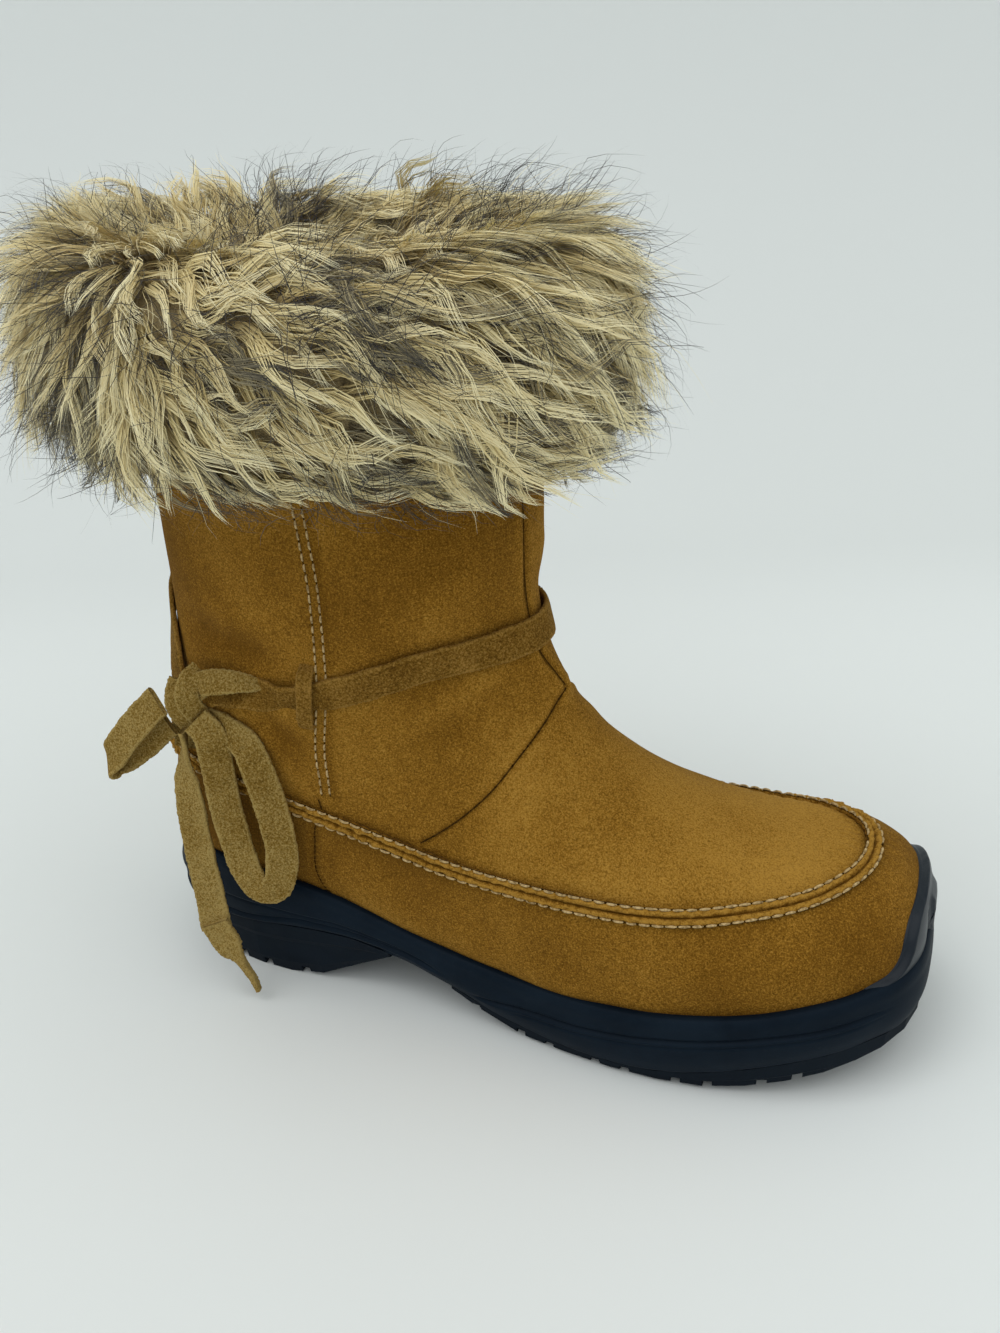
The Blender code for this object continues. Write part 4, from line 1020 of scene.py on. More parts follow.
def stitches(name, lines, length, pitch, radius, lift):
    """A row of short rounded threads along each line of (points, normals)."""
    rings, corners = THREAD_GRID
    around = np.linspace(0, FULL_TURN, corners, endpoint=False)[:, None]
    stations = np.linspace(-1, 1, rings)
    bulge = np.sqrt(np.maximum(1 - stations**2 * 0.94, 0.0))
    size = radius * (0.45 + 0.55 * bulge)
    caps = np.array([(0, 1, 2, 3), (0, 3, 4, 5), (39, 38, 37, 36), (41, 40, 39, 36)])
    vertices, faces = [], []
    for points, normals in lines:
        steps = np.concatenate([[0], np.cumsum(lengths(np.diff(points, axis=0)))])
        for n in range(int(steps[-1] / pitch)):
            at = (n + 0.5) * pitch + stations * length / 2 * (1 + 0.08 * math.sin(7.3 * n))
            spine = np.stack([np.interp(at, steps, column) for column in points.T], 1)
            up = unit(np.stack([np.interp(at, steps, column) for column in normals.T], 1))
            spine = spine + up * (lift * (bulge - 0.35))[:, None]
            ahead = ahead_of(spine)
            side = unit(np.cross(ahead, up))
            spine = spine + side * (0.12 * radius * math.sin(5.1 * n))
            ring = side[:, None] * np.cos(around) + np.cross(side, ahead)[:, None] * np.sin(around)
            base = len(vertices) * rings * corners
            faces += [part + base for part in (grid_faces(rings, corners), caps)]
            vertices.append((spine[:, None] + ring * size[:, None, None]).reshape(-1, 3))
    mesh_piece(name, np.concatenate(vertices), np.concatenate(faces), THREAD)


MOC_PITCH, SIDE_PITCH = 0.0044, 0.0037
MOC_STITCH, SIDE_STITCH = 0.0035, 0.0028
MOC_THREAD, SIDE_THREAD = 0.00048, 0.00040
SIDE_ROW_PLACES = (0.0008, 0.0040)
# Section of the raised seam: across as a share of its half width, up of its rise
RIDGE_SHAPE = [
    (-1.10, -0.25), (-1.06, 0.25), (-0.98, 0.62), (-0.82, 0.92), (-0.60, 1.00), (-0.36, 0.96),
    (-0.16, 0.78), (-0.04, 0.30), (0.04, 0.30), (0.16, 0.70), (0.36, 0.88), (0.60, 0.92),
    (0.82, 0.82), (0.98, 0.55), (1.06, 0.20), (1.10, -0.25),
]
# How ragged and how pale each corner is, from an edge to the middle; the dark base and middle groove are
# painted shade
RIDGE_EDGE = [
    (0, -0.16), (0.3, -0.06), (0.8, 0.06), (1, 0.15), (1, 0.18), (1, 0.14), (0.8, 0.02), (0.3, -0.24),
]


def make_moc_seam():
    """The raised seam: two raw edges side by side, with thread on both outer sides."""
    line, at = spaced(MOC_LINE, 0.0009, closed=True)
    line, normals = laid(line, TREE)
    line, normals = smoothed(line, 6), unit(smoothed(normals, 30))
    half = SEAM_WIDTH / 2
    shares = np.array(RIDGE_SHAPE)
    profile = np.repeat(shares[None] * [half, SEAM_RISE], len(line), 0)
    pulled = 1 - 0.16 * (0.5 + 0.5 * np.cos(FULL_TURN * at / MOC_PITCH))
    profile[..., 0] *= 1 - (1 - pulled[:, None]) * np.minimum(shares[:, 0] ** 2, 1)
    rings = profile_sweep(line, normals, profile, True)
    ragged = wave(rings, 0.0015, 21) * 0.00050 + wave(rings, 0.007, 22) * 0.00030
    lift, half_tones = np.array(RIDGE_EDGE).T
    rings = rings + normals[:, None] * (ragged * [*lift, *lift[::-1]])[..., None]
    faces = grid_faces(*rings.shape[:2], looped=True)
    flat = rings.reshape(-1, 3)
    piece = mesh_piece("moc_ridge", flat, faces, SUEDE, ["moc_seam"])
    tones = np.tile([*half_tones, *half_tones[::-1]], len(rings))
    set_tone(piece, tones + 0.10 * wave(flat, 0.0022, 23))
    rows = []
    for side in (-1, 1):
        offset = np.repeat([[[side * half, SEAM_RISE * 0.62]]], len(line), 0)
        rows.append((profile_sweep(line, normals, offset, True)[:, 0], normals))
    return rows


STITCH_ROWS = make_moc_seam()
stitches("moc_thread", STITCH_ROWS, MOC_STITCH, MOC_PITCH, MOC_THREAD, 0.0008)


def side_stitch_rows():
    rows = []
    for table, sign in ((SIDE_SEAM, 1), (mirrored(SIDE_SEAM), -1)):
        line = spaced(on_form(table), 0.001)[0]
        line, normals = laid(line, TREE)
        line, normals = eased(line, 6), unit(eased(normals, 20))
        for across in SIDE_ROW_PLACES:
            offset = np.repeat([[[sign * across, 0.0]]], len(line), 0)
            row = profile_sweep(line, normals, offset, False)[:, 0]
            rows.append((raised(row, normals, 6), normals))
    return rows


SIDE_ROWS = side_stitch_rows()
stitches("side_thread", SIDE_ROWS, SIDE_STITCH, SIDE_PITCH, SIDE_THREAD, 0.00075)
make_seam_lines()


def shaft_point(angles, heights):
    """The form's points at angles round the shaft and heights, and its directions."""
    angles, heights = np.broadcast_arrays(np.atleast_1d(angles), np.atleast_1d(heights))
    places = np.linspace(0.56, 1.0, 200)
    found = []
    for angle, height in zip(angles, heights):
        column = form_at(places, angle)
        found.append(np.interp(height, column[:, 2], places))
    found = np.array(found)
    return form_at(found, angles), form_normals(found, angles)


def strap_frame(degrees, extra=0.0):
    read = smooth_rows(STRAP_ROUTE, np.atleast_1d(degrees) % 360)
    z = INSTEP_HEIGHT + read[:, 0] * (SHAFT_HEIGHT - INSTEP_HEIGHT)
    grow = CLEARANCE + STRAP_THICKNESS / 2 + read[:, 1] * STRAP_SLACK + extra
    points, normals = shaft_point(np.radians(degrees), z)
    return points + normals * grow[:, None], normals


def ribbon(name, route, width, replaces, seed, thick=0.9, cup=0.0, shade=0.06, material=STRAP_SUEDE):
    """A suede ribbon along a route of points and face directions, with crisp fuzzy
    edges, a slight cup and ragged sides. Its thickness is a share of the strap's."""
    points, normals = route
    count = len(points)
    turns = np.linspace(0, FULL_TURN, RIBBON_CORNERS, endpoint=False)
    across = np.sign(np.cos(turns)) * np.abs(np.cos(turns)) ** 0.30
    out = np.sign(np.sin(turns)) * np.abs(np.sin(turns)) ** 0.55
    width = np.broadcast_to(width, count)[:, None]
    high = out * STRAP_THICKNESS * thick / 2 + cup * width * (across**2 - 0.4)
    rings = profile_sweep(points, normals, np.stack([across * width / 2, high], -1), False)
    side = unit(rings[:, 0] - rings[:, RIBBON_CORNERS // 2])
    ragged = wave(rings, 0.0011, seed) * 0.00020 + wave(rings, 0.009, seed + 1) * 0.00016
    at_edge = np.abs(across) > 0.8
    rings = rings + side[:, None] * (ragged * at_edge * np.sign(across))[..., None]
    spine = rings.mean(1)
    face = unit(np.cross(side, np.roll(spine, -1, axis=0) - np.roll(spine, 1, axis=0)))
    rings = rings + face[:, None] * (wave(rings, 0.007, seed + 2) * 0.00012)[..., None]
    flat = rings.reshape(-1, 3)
    corners = np.arange(RIBBON_CORNERS)[None]
    faces = [grid_faces(count, RIBBON_CORNERS), corners, len(flat) - 1 - corners]
    piece = mesh_piece(name, flat, faces, material, replaces)
    set_tone(piece, shade + 0.10 * np.tile(at_edge, count) + 0.03 * wave(flat, 0.012, seed + 3))


def make_strap():
    """The strap's one turn round the ankle, from the knot back to it."""
    turns = np.linspace(KNOT_ANGLE + KNOT_SPREAD, KNOT_ANGLE - KNOT_SPREAD + 360, 620)
    points, normals = strap_frame(turns)
    side = np.cross(ahead_of(points), normals)
    snug = 0.0023 * bell(turns - 505, 14.0) + 0.0021 * bell(turns - 155, 18.0)
    points = points - normals * snug[:, None]
    twist = np.radians(38) * bell(turns - 466, 7.0) - np.radians(22) * bell(turns - 452, 5.0)
    normals = normals * np.cos(twist)[:, None] + side * np.sin(twist)[:, None]
    width = STRAP_WIDTH * (1 - 0.16 * bell(turns - 446, 4.0))
    ribbon("strap_round", (points, normals), width, ["ankle_strap"], 31, shade=0.0, material=STRAP_BROWN)


make_strap()
# The keeper's band over the strap: up as a share of its half length, out of its reach
KEEPER_ROUTE = [(-1.0, -0.5), (-0.85, 0.75), (-0.3, 1.15), (0.3, 1.15), (0.85, 0.75), (1.0, -0.5)]


def make_keeper():
    point, normal = (value[0] for value in strap_frame(KEEPER_ANGLE))
    up = np.array([0.12, 0.0, 1.0])
    up = unit(up - normal * up.dot(normal))
    along, out = even_rows(KEEPER_ROUTE, 60).T[..., None]
    points = point + up * (KEEPER_LENGTH / 2 * along) + normal * ((STRAP_THICKNESS + CLEARANCE) * out)
    route = points, unit(normal + up * (0.6 * along))
    ribbon("keeper_band", route, KEEPER_WIDTH, ["strap_keeper"], 41, 0.8, shade=0.03, material=STRAP_BROWN)


make_keeper()
KNOT = strap_frame(KNOT_ANGLE, KNOT_OFFSET)[0][0]


def ribbon_route(folds, count):
    """Points and face directions of a ribbon from its table of folds."""
    read = even_rows(folds, count)
    points = KNOT + read[:, :3] * np.array([1, -1, -1]) * BOW_DROP
    along = ahead_of(points)
    outward = np.array([0.15, -1.0, 0.05])
    face = unit(outward - along * (along @ outward)[:, None])
    turn = np.radians(read[:, 3])[:, None]
    return points, face * np.cos(turn) + np.cross(along, face) * np.sin(turn)


def make_bow():
    """Two loops, a hidden tail and the long tail with its torn tip."""
    ribbon("bow_front_loop", ribbon_route(LOOP_FOLDS, 260), STRAP_WIDTH, ["bow_loop"], 51, cup=0.02)
    back = ribbon_route(SIDE_LOOP_FOLDS, 180)
    ribbon("bow_back_loop", back, STRAP_WIDTH, ["bow_side_loop"], 55, cup=0.02)
    hidden = ribbon_route(SHORT_TAIL_FOLDS, 50)
    ribbon("bow_hidden_tail", hidden, STRAP_WIDTH * 0.7, ["bow_short_tail"], 59)
    width = STRAP_WIDTH * np.interp(np.linspace(0, 1, 200), [0, 0.3, 1], [0.9, 1.0, 1.02])
    tail = ribbon_route(TAIL_FOLDS, 200)
    ribbon("bow_long_tail", tail, width, ["bow_tail"], 63, cup=0.015, shade=0.12)
    end = KNOT + np.array(TAIL_FOLDS[-1][:3]) * [1, -1, -1] * BOW_DROP
    forward, down, width = even_rows(TIP_FOLDS, 90).T
    steps = np.stack([forward, 0 * forward, -down], 1) * BOW_DROP
    points = end + steps - np.array([0, STRAP_THICKNESS * 0.55, 0])
    tip = points, np.repeat([[0.1, -1.0, 0.0]], len(points), 0)
    ribbon("bow_tail_tip", tip, width * STRAP_WIDTH, ["bow_tail"], 67, 1.2, shade=0.12)


make_bow()
# Bands of the knot: width, how much the end narrows, and rows of forward, outward and up
# from the knot's middle, in millimetres
KNOT_BANDS = {
    "knot_wrap": (8.5, 0, [(11, 1, 14), (8.4, 4.6, 11.5), (7.2, 6.2, 7.5), (6.9, 5, 1.5), (7.6, 1.5, -4.5)]),
    "knot_curl": (9.5, 0.62, [(8, 2.5, 7), (13, 5, 11), (20, 6.2, 13.5), (28, 5.4, 13.8), (35.5, 2.6, 12.5)]),
    "knot_under": (9.0, 0, [(2, 1.0, 9), (1.0, 3.0, 5), (0.5, 3.6, 0), (1.5, 3.2, -5), (3.0, 1.6, -9)]),
}


def make_knot():
    replaced = ["bow_knot"]
    for n, (name, (width, narrowing, rows)) in enumerate(KNOT_BANDS.items()):
        points = KNOT + even_rows(rows, 60) * np.array([1, -1, 1]) / 1000
        along = ahead_of(points)
        bulge = points - (KNOT + np.array([0, 0.006, 0]))
        face = unit(bulge - along * dots(bulge, along)[:, None])
        size = width / 1000 * (1 - narrowing * np.linspace(0, 1, 60) ** 4)
        ribbon(name, (points, face), size, replaced, 71 + 4 * n, cup=-0.03)
        replaced = []


make_knot()


def half_outline(count):
    """The rim's half outlines at the same places, as rows of (x, outer y, inner y)."""
    runs = level_path(lambda x: rim_height(x) - 0.002)
    sides = [form_at(run[:, 0], run[:, 1]) + form_normals(run[:, 0], run[:, 1]) * CLEARANCE for run in runs]
    back = min(side[:, 0].min() for side in sides)
    front = max(side[:, 0].max() for side in sides)
    turns = np.linspace(0, math.pi, count)
    x = back + (front - back) * (1 - np.cos(turns)) / 2
    rows = []
    for side in sides:
        run = side[::-1]
        keep = np.maximum.accumulate(run[:, 0]) == run[:, 0]
        rows.append(np.interp(x, run[keep, 0], run[keep, 1]))
    return np.stack([x, *rows], 1)


def plan_loop(outline):
    loop = np.concatenate([outline[:, [0, 1]], outline[::-1][:, [0, 2]]])
    return smoothed(spaced(loop, 0.0016, closed=True)[0], 4)


def grown_loop(loop, distance):
    along = unit(loop - np.roll(loop, 1, axis=0)) + unit(np.roll(loop, -1, axis=0) - loop)
    along = unit(smoothed(along, 6))
    return loop + np.stack([along[:, 1], -along[:, 0]], 1) * np.reshape(distance, (-1, 1))


# Lines moulded in the sole's side: x and height in millimetres, depth and half width,
# and a step that the part below the line stands back or out
SIDE_LINES = [
    (
        [(98, 15), (106, 15.2), (138, 16.6), (158, 19), (181, 23), (203, 27), (225, 30.3), (238, 32)],
        1.5, 0.6, 0.7,
    ),
    ([(112, 13.4), (138, 14.6), (158, 17), (181, 21), (203, 25), (225, 28.3), (238, 30)], 0.5, 0.45, 0.0),
    ([(-42, 31.0), (-20, 32.0), (10, 32.4), (40, 30.8), (66, 26.5), (84, 22.5)], 0.6, 0.6, -0.9),
    ([(-42, 25.0), (-25, 24.0), (0, 24.4), (24, 28.6), (44, 27.4), (68, 24.6), (88, 20.5)], 0.9, 0.7, 0.8),
    ([(-30, 20.5), (0, 21.0), (26, 22.0), (52, 22.6), (70, 23.0)], 0.7, 0.6, 0.7),
]
# Share of the way down the side, and how far it bulges
SOLE_BULGE = [(0.0, 0.15), (0.03, 0.36), (0.08, 0.55), (0.30, 0.80), (0.50, 0.95), (0.80, 0.85), (1.0, 0.45)]


def make_midsole():
    """The moulded side of the sole with its rim, bands and lines."""
    loop = plan_loop(half_outline(260))
    x = loop[:, 0]
    rim, joint = rim_height(x), joint_height(x) + CLEARANCE
    flare = HEEL_FLARE * np.clip(1 - (x - SOLE_BACK) / SOLE_LENGTH / 0.12, 0, 1)
    shares = np.concatenate([[0.0, 0.006, 0.016], np.linspace(0.03, 1, 52)])
    inner = grown_loop(loop, -0.005)
    rings = [
        np.column_stack([inner, bed_height(inner[:, 0]) + 0.001]),
        np.column_stack([grown_loop(loop, 0.0001), rim - 0.0004]),
    ]
    for share, out in zip(shares, smooth_rows(SOLE_BULGE, shares)[:, 0]):
        z = rim + (joint - rim) * share
        distance = RIM_WALL * (1 + out) + flare * min(share * 2, 1)
        for rows, depth, width, step in SIDE_LINES:
            line_x, line_z = np.array(rows, float).T / 1000
            level = np.interp(x, line_x, line_z)
            ends = smoothstep(x, line_x[0] - 0.004, line_x[0] + 0.010)
            ends = ends * (1 - smoothstep(x, line_x[-1] - 0.012, line_x[-1]))
            below = smoothstep(level - z, -width / 1000, width / 1000)
            distance = distance - ends * depth / 1000 * bell(z - level, width / 1000)
            distance = distance + ends * below * step / 1000 * np.exp(-np.maximum(level - z, 0) / 0.010)
        rings.append(np.column_stack([grown_loop(loop, distance), z]))
    rings.append(np.column_stack([grown_loop(loop, -0.006), joint + 0.0001]))
    vertices = np.concatenate(rings)
    around = np.arange(len(loop))[None]
    caps = [around[:, ::-1], around + len(vertices) - len(loop)]
    faces = grid_faces(len(rings), len(loop))[:, ::-1]
    mesh_piece("sole_side", vertices, [faces, *caps], RUBBER, ["midsole"])


make_midsole()
# Toe bumper seen from the front: across is a share of its half width, up runs 0 to 1
BUMPER_SIDE = [(2.0, 0.0), (1.66, 0.25), (1.38, 0.35), (1.19, 0.48), (1.06, 0.62), (0.84, 0.74), (0.46, 0.81)]
BUMPER_SHAPE = [*[(-x, y) for x, y in BUMPER_SIDE], (0.0, 0.83), *BUMPER_SIDE[::-1], (0.0, -0.02)]
BUMPER_RAY = 0.12


def make_bumper():
    """The toe bumper laid on the toe, with two slots beside a raised tab."""
    tip_y = FOOT_SECTIONS[0][7] * BALL_WIDTH
    low = float(rim_height(HEEL_BACK + UPPER_LENGTH)) - 4 * WALL
    edge = even_rows(BUMPER_SHAPE + BUMPER_SHAPE[:1], 161)[:-1]
    middle = np.array([0.0, 0.45])
    levels = np.concatenate([np.linspace(0, 0.86, 26)[1:], np.linspace(0.88, 1, 10), [1.0]])
    rings = []
    for share in levels:
        ring = middle + (edge - middle) * share
        y = tip_y + ring[:, 0] * BUMPER_WIDTH / 2
        z = low + (BUMPER_TOP - low) * ring[:, 1]
        points = []
        for py, pz in zip(y, z):
            spot = TREE.ray_cast(Vector((0.30, py, pz)), Vector((-1, 0, 0)), BUMPER_RAY)[0]
            if spot is None:
                spot = TREE.find_nearest(Vector((0.235, py, pz)))[0]
            points.append(spot)
        rings.append(np.array(points))
    grid = smoothed(np.array(rings), 3, axis=1)
    normals = unit(laid(grid.reshape(-1, 3), TREE)[1].reshape(grid.shape))
    across = (grid[..., 1] - tip_y) / (BUMPER_WIDTH / 2)
    up = (grid[..., 2] - low) / (BUMPER_TOP - low)
    wall = BUMPER_WALL * (1 - smoothstep(levels, 0.90, 1.0) * 0.75)[:, None]
    tab = (1 - smoothstep(np.abs(across), 0.20, 0.30)) * (1 - smoothstep(up, 0.62, 0.76))
    slot = smoothstep(up, 0.26, 0.38) * (1 - smoothstep(up, 0.56, 0.68))
    wall = wall + TAB_RISE * tab - 0.0019 * slot * bell(np.abs(across) - 0.42, 0.06)
    wall[-1] = -0.0004
    grid = grid + normals * wall[..., None]
    vertices = np.concatenate([grid.reshape(-1, 3), [grid[0].mean(axis=0)]])
    corner = np.arange(len(edge))
    fan = np.stack([0 * corner + len(vertices) - 1, corner, (corner + 1) % len(edge)], 1)
    faces = [grid_faces(len(levels), len(edge)), fan]
    mesh_piece("toe_bumper", vertices, faces, BUMPER)


make_bumper()
# Solids that keep their own shape
for node in ("outsole_heel", "outsole_forefoot"):
    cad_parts[node].data.materials[0] = TREAD
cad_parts["insole"].data.materials[0] = FLEECE


# Camera of the photograph: millimetres, degrees and pixels
CAMERA = {"turn": 20, "tilt": 27, "roll": -2.5, "target": (96, 0, 127), "distance": 460, "focal": 1300}
IMAGE_HEIGHT = 1333
SENSOR = 36


def make_camera():
    turn, tilt, roll = (math.radians(CAMERA[key]) for key in ("turn", "tilt", "roll"))
    back = np.array([math.sin(turn) * math.cos(tilt), -math.cos(turn) * math.cos(tilt), math.sin(tilt)])
    right = np.array([math.cos(turn), math.sin(turn), 0.0])
    up = np.cross(back, right)
    rolled = math.cos(roll) * right + math.sin(roll) * up
    upright = -math.sin(roll) * right + math.cos(roll) * up
    data = bpy.data.cameras.new("photo_camera")
    data.sensor_width = SENSOR
    data.lens = CAMERA["focal"] * SENSOR / IMAGE_HEIGHT
    data.clip_start = 0.01
    camera = add_object("photo_camera", data)
    place = (np.array(CAMERA["target"]) + back * CAMERA["distance"]) / 1000
    matrix = Matrix.Identity(4)
    for column, axis in enumerate((rolled, upright, back)):
        for row in range(3):
            matrix[row][column] = axis[row]
    matrix.translation = Vector(place)
    camera.matrix_world = matrix
    bpy.context.scene.camera = camera


make_camera()


def ring_frame(turns, out, up):
    """Points of the cuff's section at turns round the collar, and flat directions."""
    z = SHAFT_HEIGHT + up * np.where(up > 0, FUR_RISE, FUR_DROP)
    heights = np.linspace(SHAFT_HEIGHT - 1.2 * FUR_DROP, SHAFT_HEIGHT, 8)
    columns = np.linspace(0, FULL_TURN, 121)
    table = np.array([shaft_point(columns, h)[0] for h in heights])
    level = np.clip((np.minimum(z, SHAFT_HEIGHT) - heights[0]) / (heights[1] - heights[0]), 0, 6.999)
    column = np.clip(turns / (FULL_TURN) * 120, 0, 119.999)
    i, j = level.astype(int), column.astype(int)
    a, b = (level - i)[:, None], (column - j)[:, None]
    lower, upper = (table[row, j] * (1 - b) + table[row, j + 1] * b for row in (i, i + 1))
    shaft = lower * (1 - a) + upper * a
    around = unit(table[-1, j + 1] - table[-1, j])
    flat = np.stack([-around[:, 1], around[:, 0], 0 * around[:, 0]], 1)
    middle = np.array([HEEL_BACK + SHAFT_MIDDLE * UPPER_LENGTH, 0.0, 0.0])
    flat = flat * np.sign(dots(flat, shaft - middle))[:, None]
    points = shaft + flat * (out * np.where(out > 0, FUR_REACH, FUR_INSET))[:, None]
    points[:, 2] = z
    return points, flat


def fur_skin(turns, shares):
    """Points of the cuff's skin and outward directions. Shares run from its lower edge
    over the outside to its inner lip."""
    keys = np.linspace(0, 1, len(FUR_SECTION))
    rows = [(key, *row) for key, row in zip(keys, FUR_SECTION)]
    read = smooth_rows(rows, shares)
    after = smooth_rows(rows, np.minimum(shares + 0.01, 1))
    before = smooth_rows(rows, np.maximum(shares - 0.01, 0))
    points, flat = ring_frame(turns, read[:, 0], read[:, 1])
    step = (after - before) * np.array([FUR_REACH, (FUR_RISE + FUR_DROP) / 2])
    normals = unit(flat * step[:, 1:] - np.array([0, 0, 1.0]) * step[:, :1])
    return points, normals, flat


def make_undercoat():
    """The short fur under the strands, closed round the collar's edge."""
    count, around = CUFF_GRID
    turns = np.linspace(0, FULL_TURN, count, endpoint=False)
    grid = np.meshgrid(turns, np.linspace(0, 1, around), indexing="ij")
    points, normals, _ = fur_skin(*(values.ravel() for values in grid))
    points = points + normals * (0.0012 * wave(points, 0.007, 81) - 0.0015)[:, None]
    edge, edge_flat = ring_frame(turns, np.full(count, 1e-9), np.zeros(count))
    low, low_flat = ring_frame(turns, np.full(count, 1e-9), np.full(count, -1.0))
    lip, rim = edge - edge_flat * FUR_INSET * 0.7, edge + edge_flat * 0.0008
    lip[:, 2] = rim[:, 2] = SHAFT_HEIGHT + CLEARANCE
    closing = np.stack([lip, rim, low + low_flat * 0.0010], 1)
    rings = np.concatenate([points.reshape(count, around, 3), closing], 1)
    faces = grid_faces(*rings.shape[:2], looped=True)
    mesh_piece("fur_undercoat", rings.reshape(-1, 3), faces, UNDERCOAT, ["fur_cuff"])


make_undercoat()
# Share of the way over the cuff, from its lower edge, and how long the locks are there
LOCK_LENGTHS = [(0, 0.012), (0.10, 0.020), (0.30, 0.034), (0.62, 0.034), (0.80, 0.026), (0.96, 0.012)]
# Ranges in metres for locks, strands and guard hairs
LOCK_RADIUS = (0.0022, 0.0036)
STRAND_WIDTH = (0.00028, 0.00054)
GUARD_WIDTH = (0.00016, 0.00027)
GUARD_LENGTH = (0.018, 0.038)
# Shares of stray and of dark strands, and how far stray and other ends wander
STRAY_SHARE, DARK_SHARE = 0.09, 0.04
STRAY_REACH, STRAND_REACH = 0.0060, 0.0006
# Heights that no strand passes, and how far from them it starts to bend
FUR_TOP, TOP_EASE = 0.3018, 0.016
FUR_BOTTOM, BOTTOM_EASE = 0.1995, 0.008


def strand_mesh(name, spines, sides, widths, tints, shade_normals):
    """One piece of flat tapering strands. Spines are strands x stations x 3."""
    count, stations = spines.shape[:2]
    share = np.linspace(0, 1, stations)
    taper = (1 - share) ** 0.55 * 0.92 + 0.08
    half = sides * (widths[:, None] * taper / 2)[..., None]
    pairs = np.stack([spines - half, spines + half], 2)
    vertices = pairs.reshape(-1, 3)
    base = np.arange(count)[:, None] * stations * 2
    k = np.arange(stations - 1)[None] * 2
    quads = np.stack([base + k, base + k + 1, base + k + 3, base + k + 2], -1).reshape(-1, 4)
    piece = mesh_piece(name, vertices, quads, FUR, ["fur_cuff"])
    up = np.broadcast_to(share[None, :, None], (count, stations, 2))
    across = np.broadcast_to(tints[:, None, None], (count, stations, 2))
    spots = np.stack([across, up * 0.98 + 0.01], -1).reshape(-1, 2)
    layer = piece.data.uv_layers.new(name="OFBake")
    layer.data.foreach_set("uv", spots[quads.ravel()].astype(np.float32).ravel())
    directions = np.repeat(shade_normals.reshape(-1, 3), 2, axis=0)
    piece.data.normals_split_custom_set_from_vertices(directions.astype(np.float32))
    return piece


def flow_at(points, normals, flat, shares):
    """The way the fur is brushed along the skin: forward on the front part, back at the
    heel side, down low on the cuff and up along its top."""
    front = smoothstep(points[:, 0], -0.035, 0.045)
    forward = -0.80 + 1.85 * front + 0.40 * wave(points, 0.055, 91)
    levels = [0, 0.2, 0.42, 0.58, 0.72, 0.84, 0.96]
    up = np.interp(shares, levels, [-0.70, -0.85, -0.60, -0.05, 0.35, 0.5, 1.0])
    falling = np.interp(shares, levels, [-0.70, -0.95, -1.0, -0.90, -0.60, -0.1, 0.6])
    rear = 1 - smoothstep(points[:, 0], 0.004, 0.050)
    up = (up * (1 - rear) + falling * rear) * (1 - 0.40 * front)
    up = up + (0.32 - 0.17 * rear) * wave(points, 0.05, 92)
    flow = np.stack([forward, 0.30 * wave(points, 0.05, 93), up], 1)
    flow = flow + flat * (0.9 * smoothstep(shares, 0.60, 0.80))[:, None]
    return flow - normals * dots(flow, normals)[:, None]


def kept_in(spines):
    """Strands eased away from the heights that the fur doesn't pass."""
    z = spines[..., 2]
    over = np.maximum(z - FUR_TOP + TOP_EASE, 0)
    under = np.maximum(FUR_BOTTOM + BOTTOM_EASE - z, 0)
    z = z - over + TOP_EASE * (1 - np.exp(-over / TOP_EASE))
    spines[..., 2] = z + under - BOTTOM_EASE * (1 - np.exp(-under / BOTTOM_EASE))
    return spines


def clump_guides(count):
    """Guide curves of the locks, which wave from side to side as they lie on the skin."""
    turns = RNG.uniform(0, FULL_TURN, count)
    shares = 0.03 + RNG.beta(1.1, 1.15, count) * 0.93
    points, normals, flat = fur_skin(turns, shares)
    flow = flow_at(points, normals, flat, shares)
    loose = 0.22 + 0.50 * bell(lengths(flow), 0.45)
    flow = unit(flow) + RNG.normal(size=(count, 3)) * loose[:, None]
    flow = unit(flow - normals * dots(flow, normals)[:, None])
    across = np.cross(normals, flow)
    rear = 1 - smoothstep(points[:, 0], -0.03, 0.05)
    length = np.interp(shares, *np.transpose(LOCK_LENGTHS))
    corner = smoothstep(points[:, 0], 0.065, 0.105) * smoothstep(-points[:, 1], 0.0, 0.03)
    length = length * RNG.uniform(0.65, 1.22, count) * (1 + 0.15 * rear + 0.35 * corner)
    amount = RNG.uniform(0.30, 0.85, count) * RNG.choice([-1.0, 1.0], count)
    phase = RNG.uniform(-0.15, 0.25, count)
    rise = RNG.uniform(0.30, 0.75, count) * (1 + 0.6 * rear * smoothstep(shares, 0.45, 0.65))
    guides = [points - normals * 0.002]
    for k in range(1, STATIONS):
        share = (k - 0.5) / (STATIONS - 1)
        swing = amount * np.sin(FULL_TURN * (0.95 * share + phase))
        lift = rise * (1 - share) ** 1.4 - 0.16 * share
        heading = flow * np.cos(swing)[:, None] + across * np.sin(swing)[:, None] + normals * lift[:, None]
        heading = unit(heading + np.array([0, 0, -0.16 * share]))
        guides.append(guides[-1] + heading * (length / (STATIONS - 1))[:, None])
    patches = wave(points * np.array([1.0, 1.0, 1.3]), 0.030, 95) + 0.5 * RNG.normal(size=count)
    patches = patches + 0.7 * (shares < 0.2) - 0.35 * smoothstep(shares, 0.5, 0.7)
    smoky, pale = RNG.uniform(0.64, 0.80, count), RNG.uniform(0.0, 0.52, count) ** 1.3
    tints = np.where(patches > 0.80, smoky, pale)
    return np.stack(guides, 1), normals, across, tints, turns


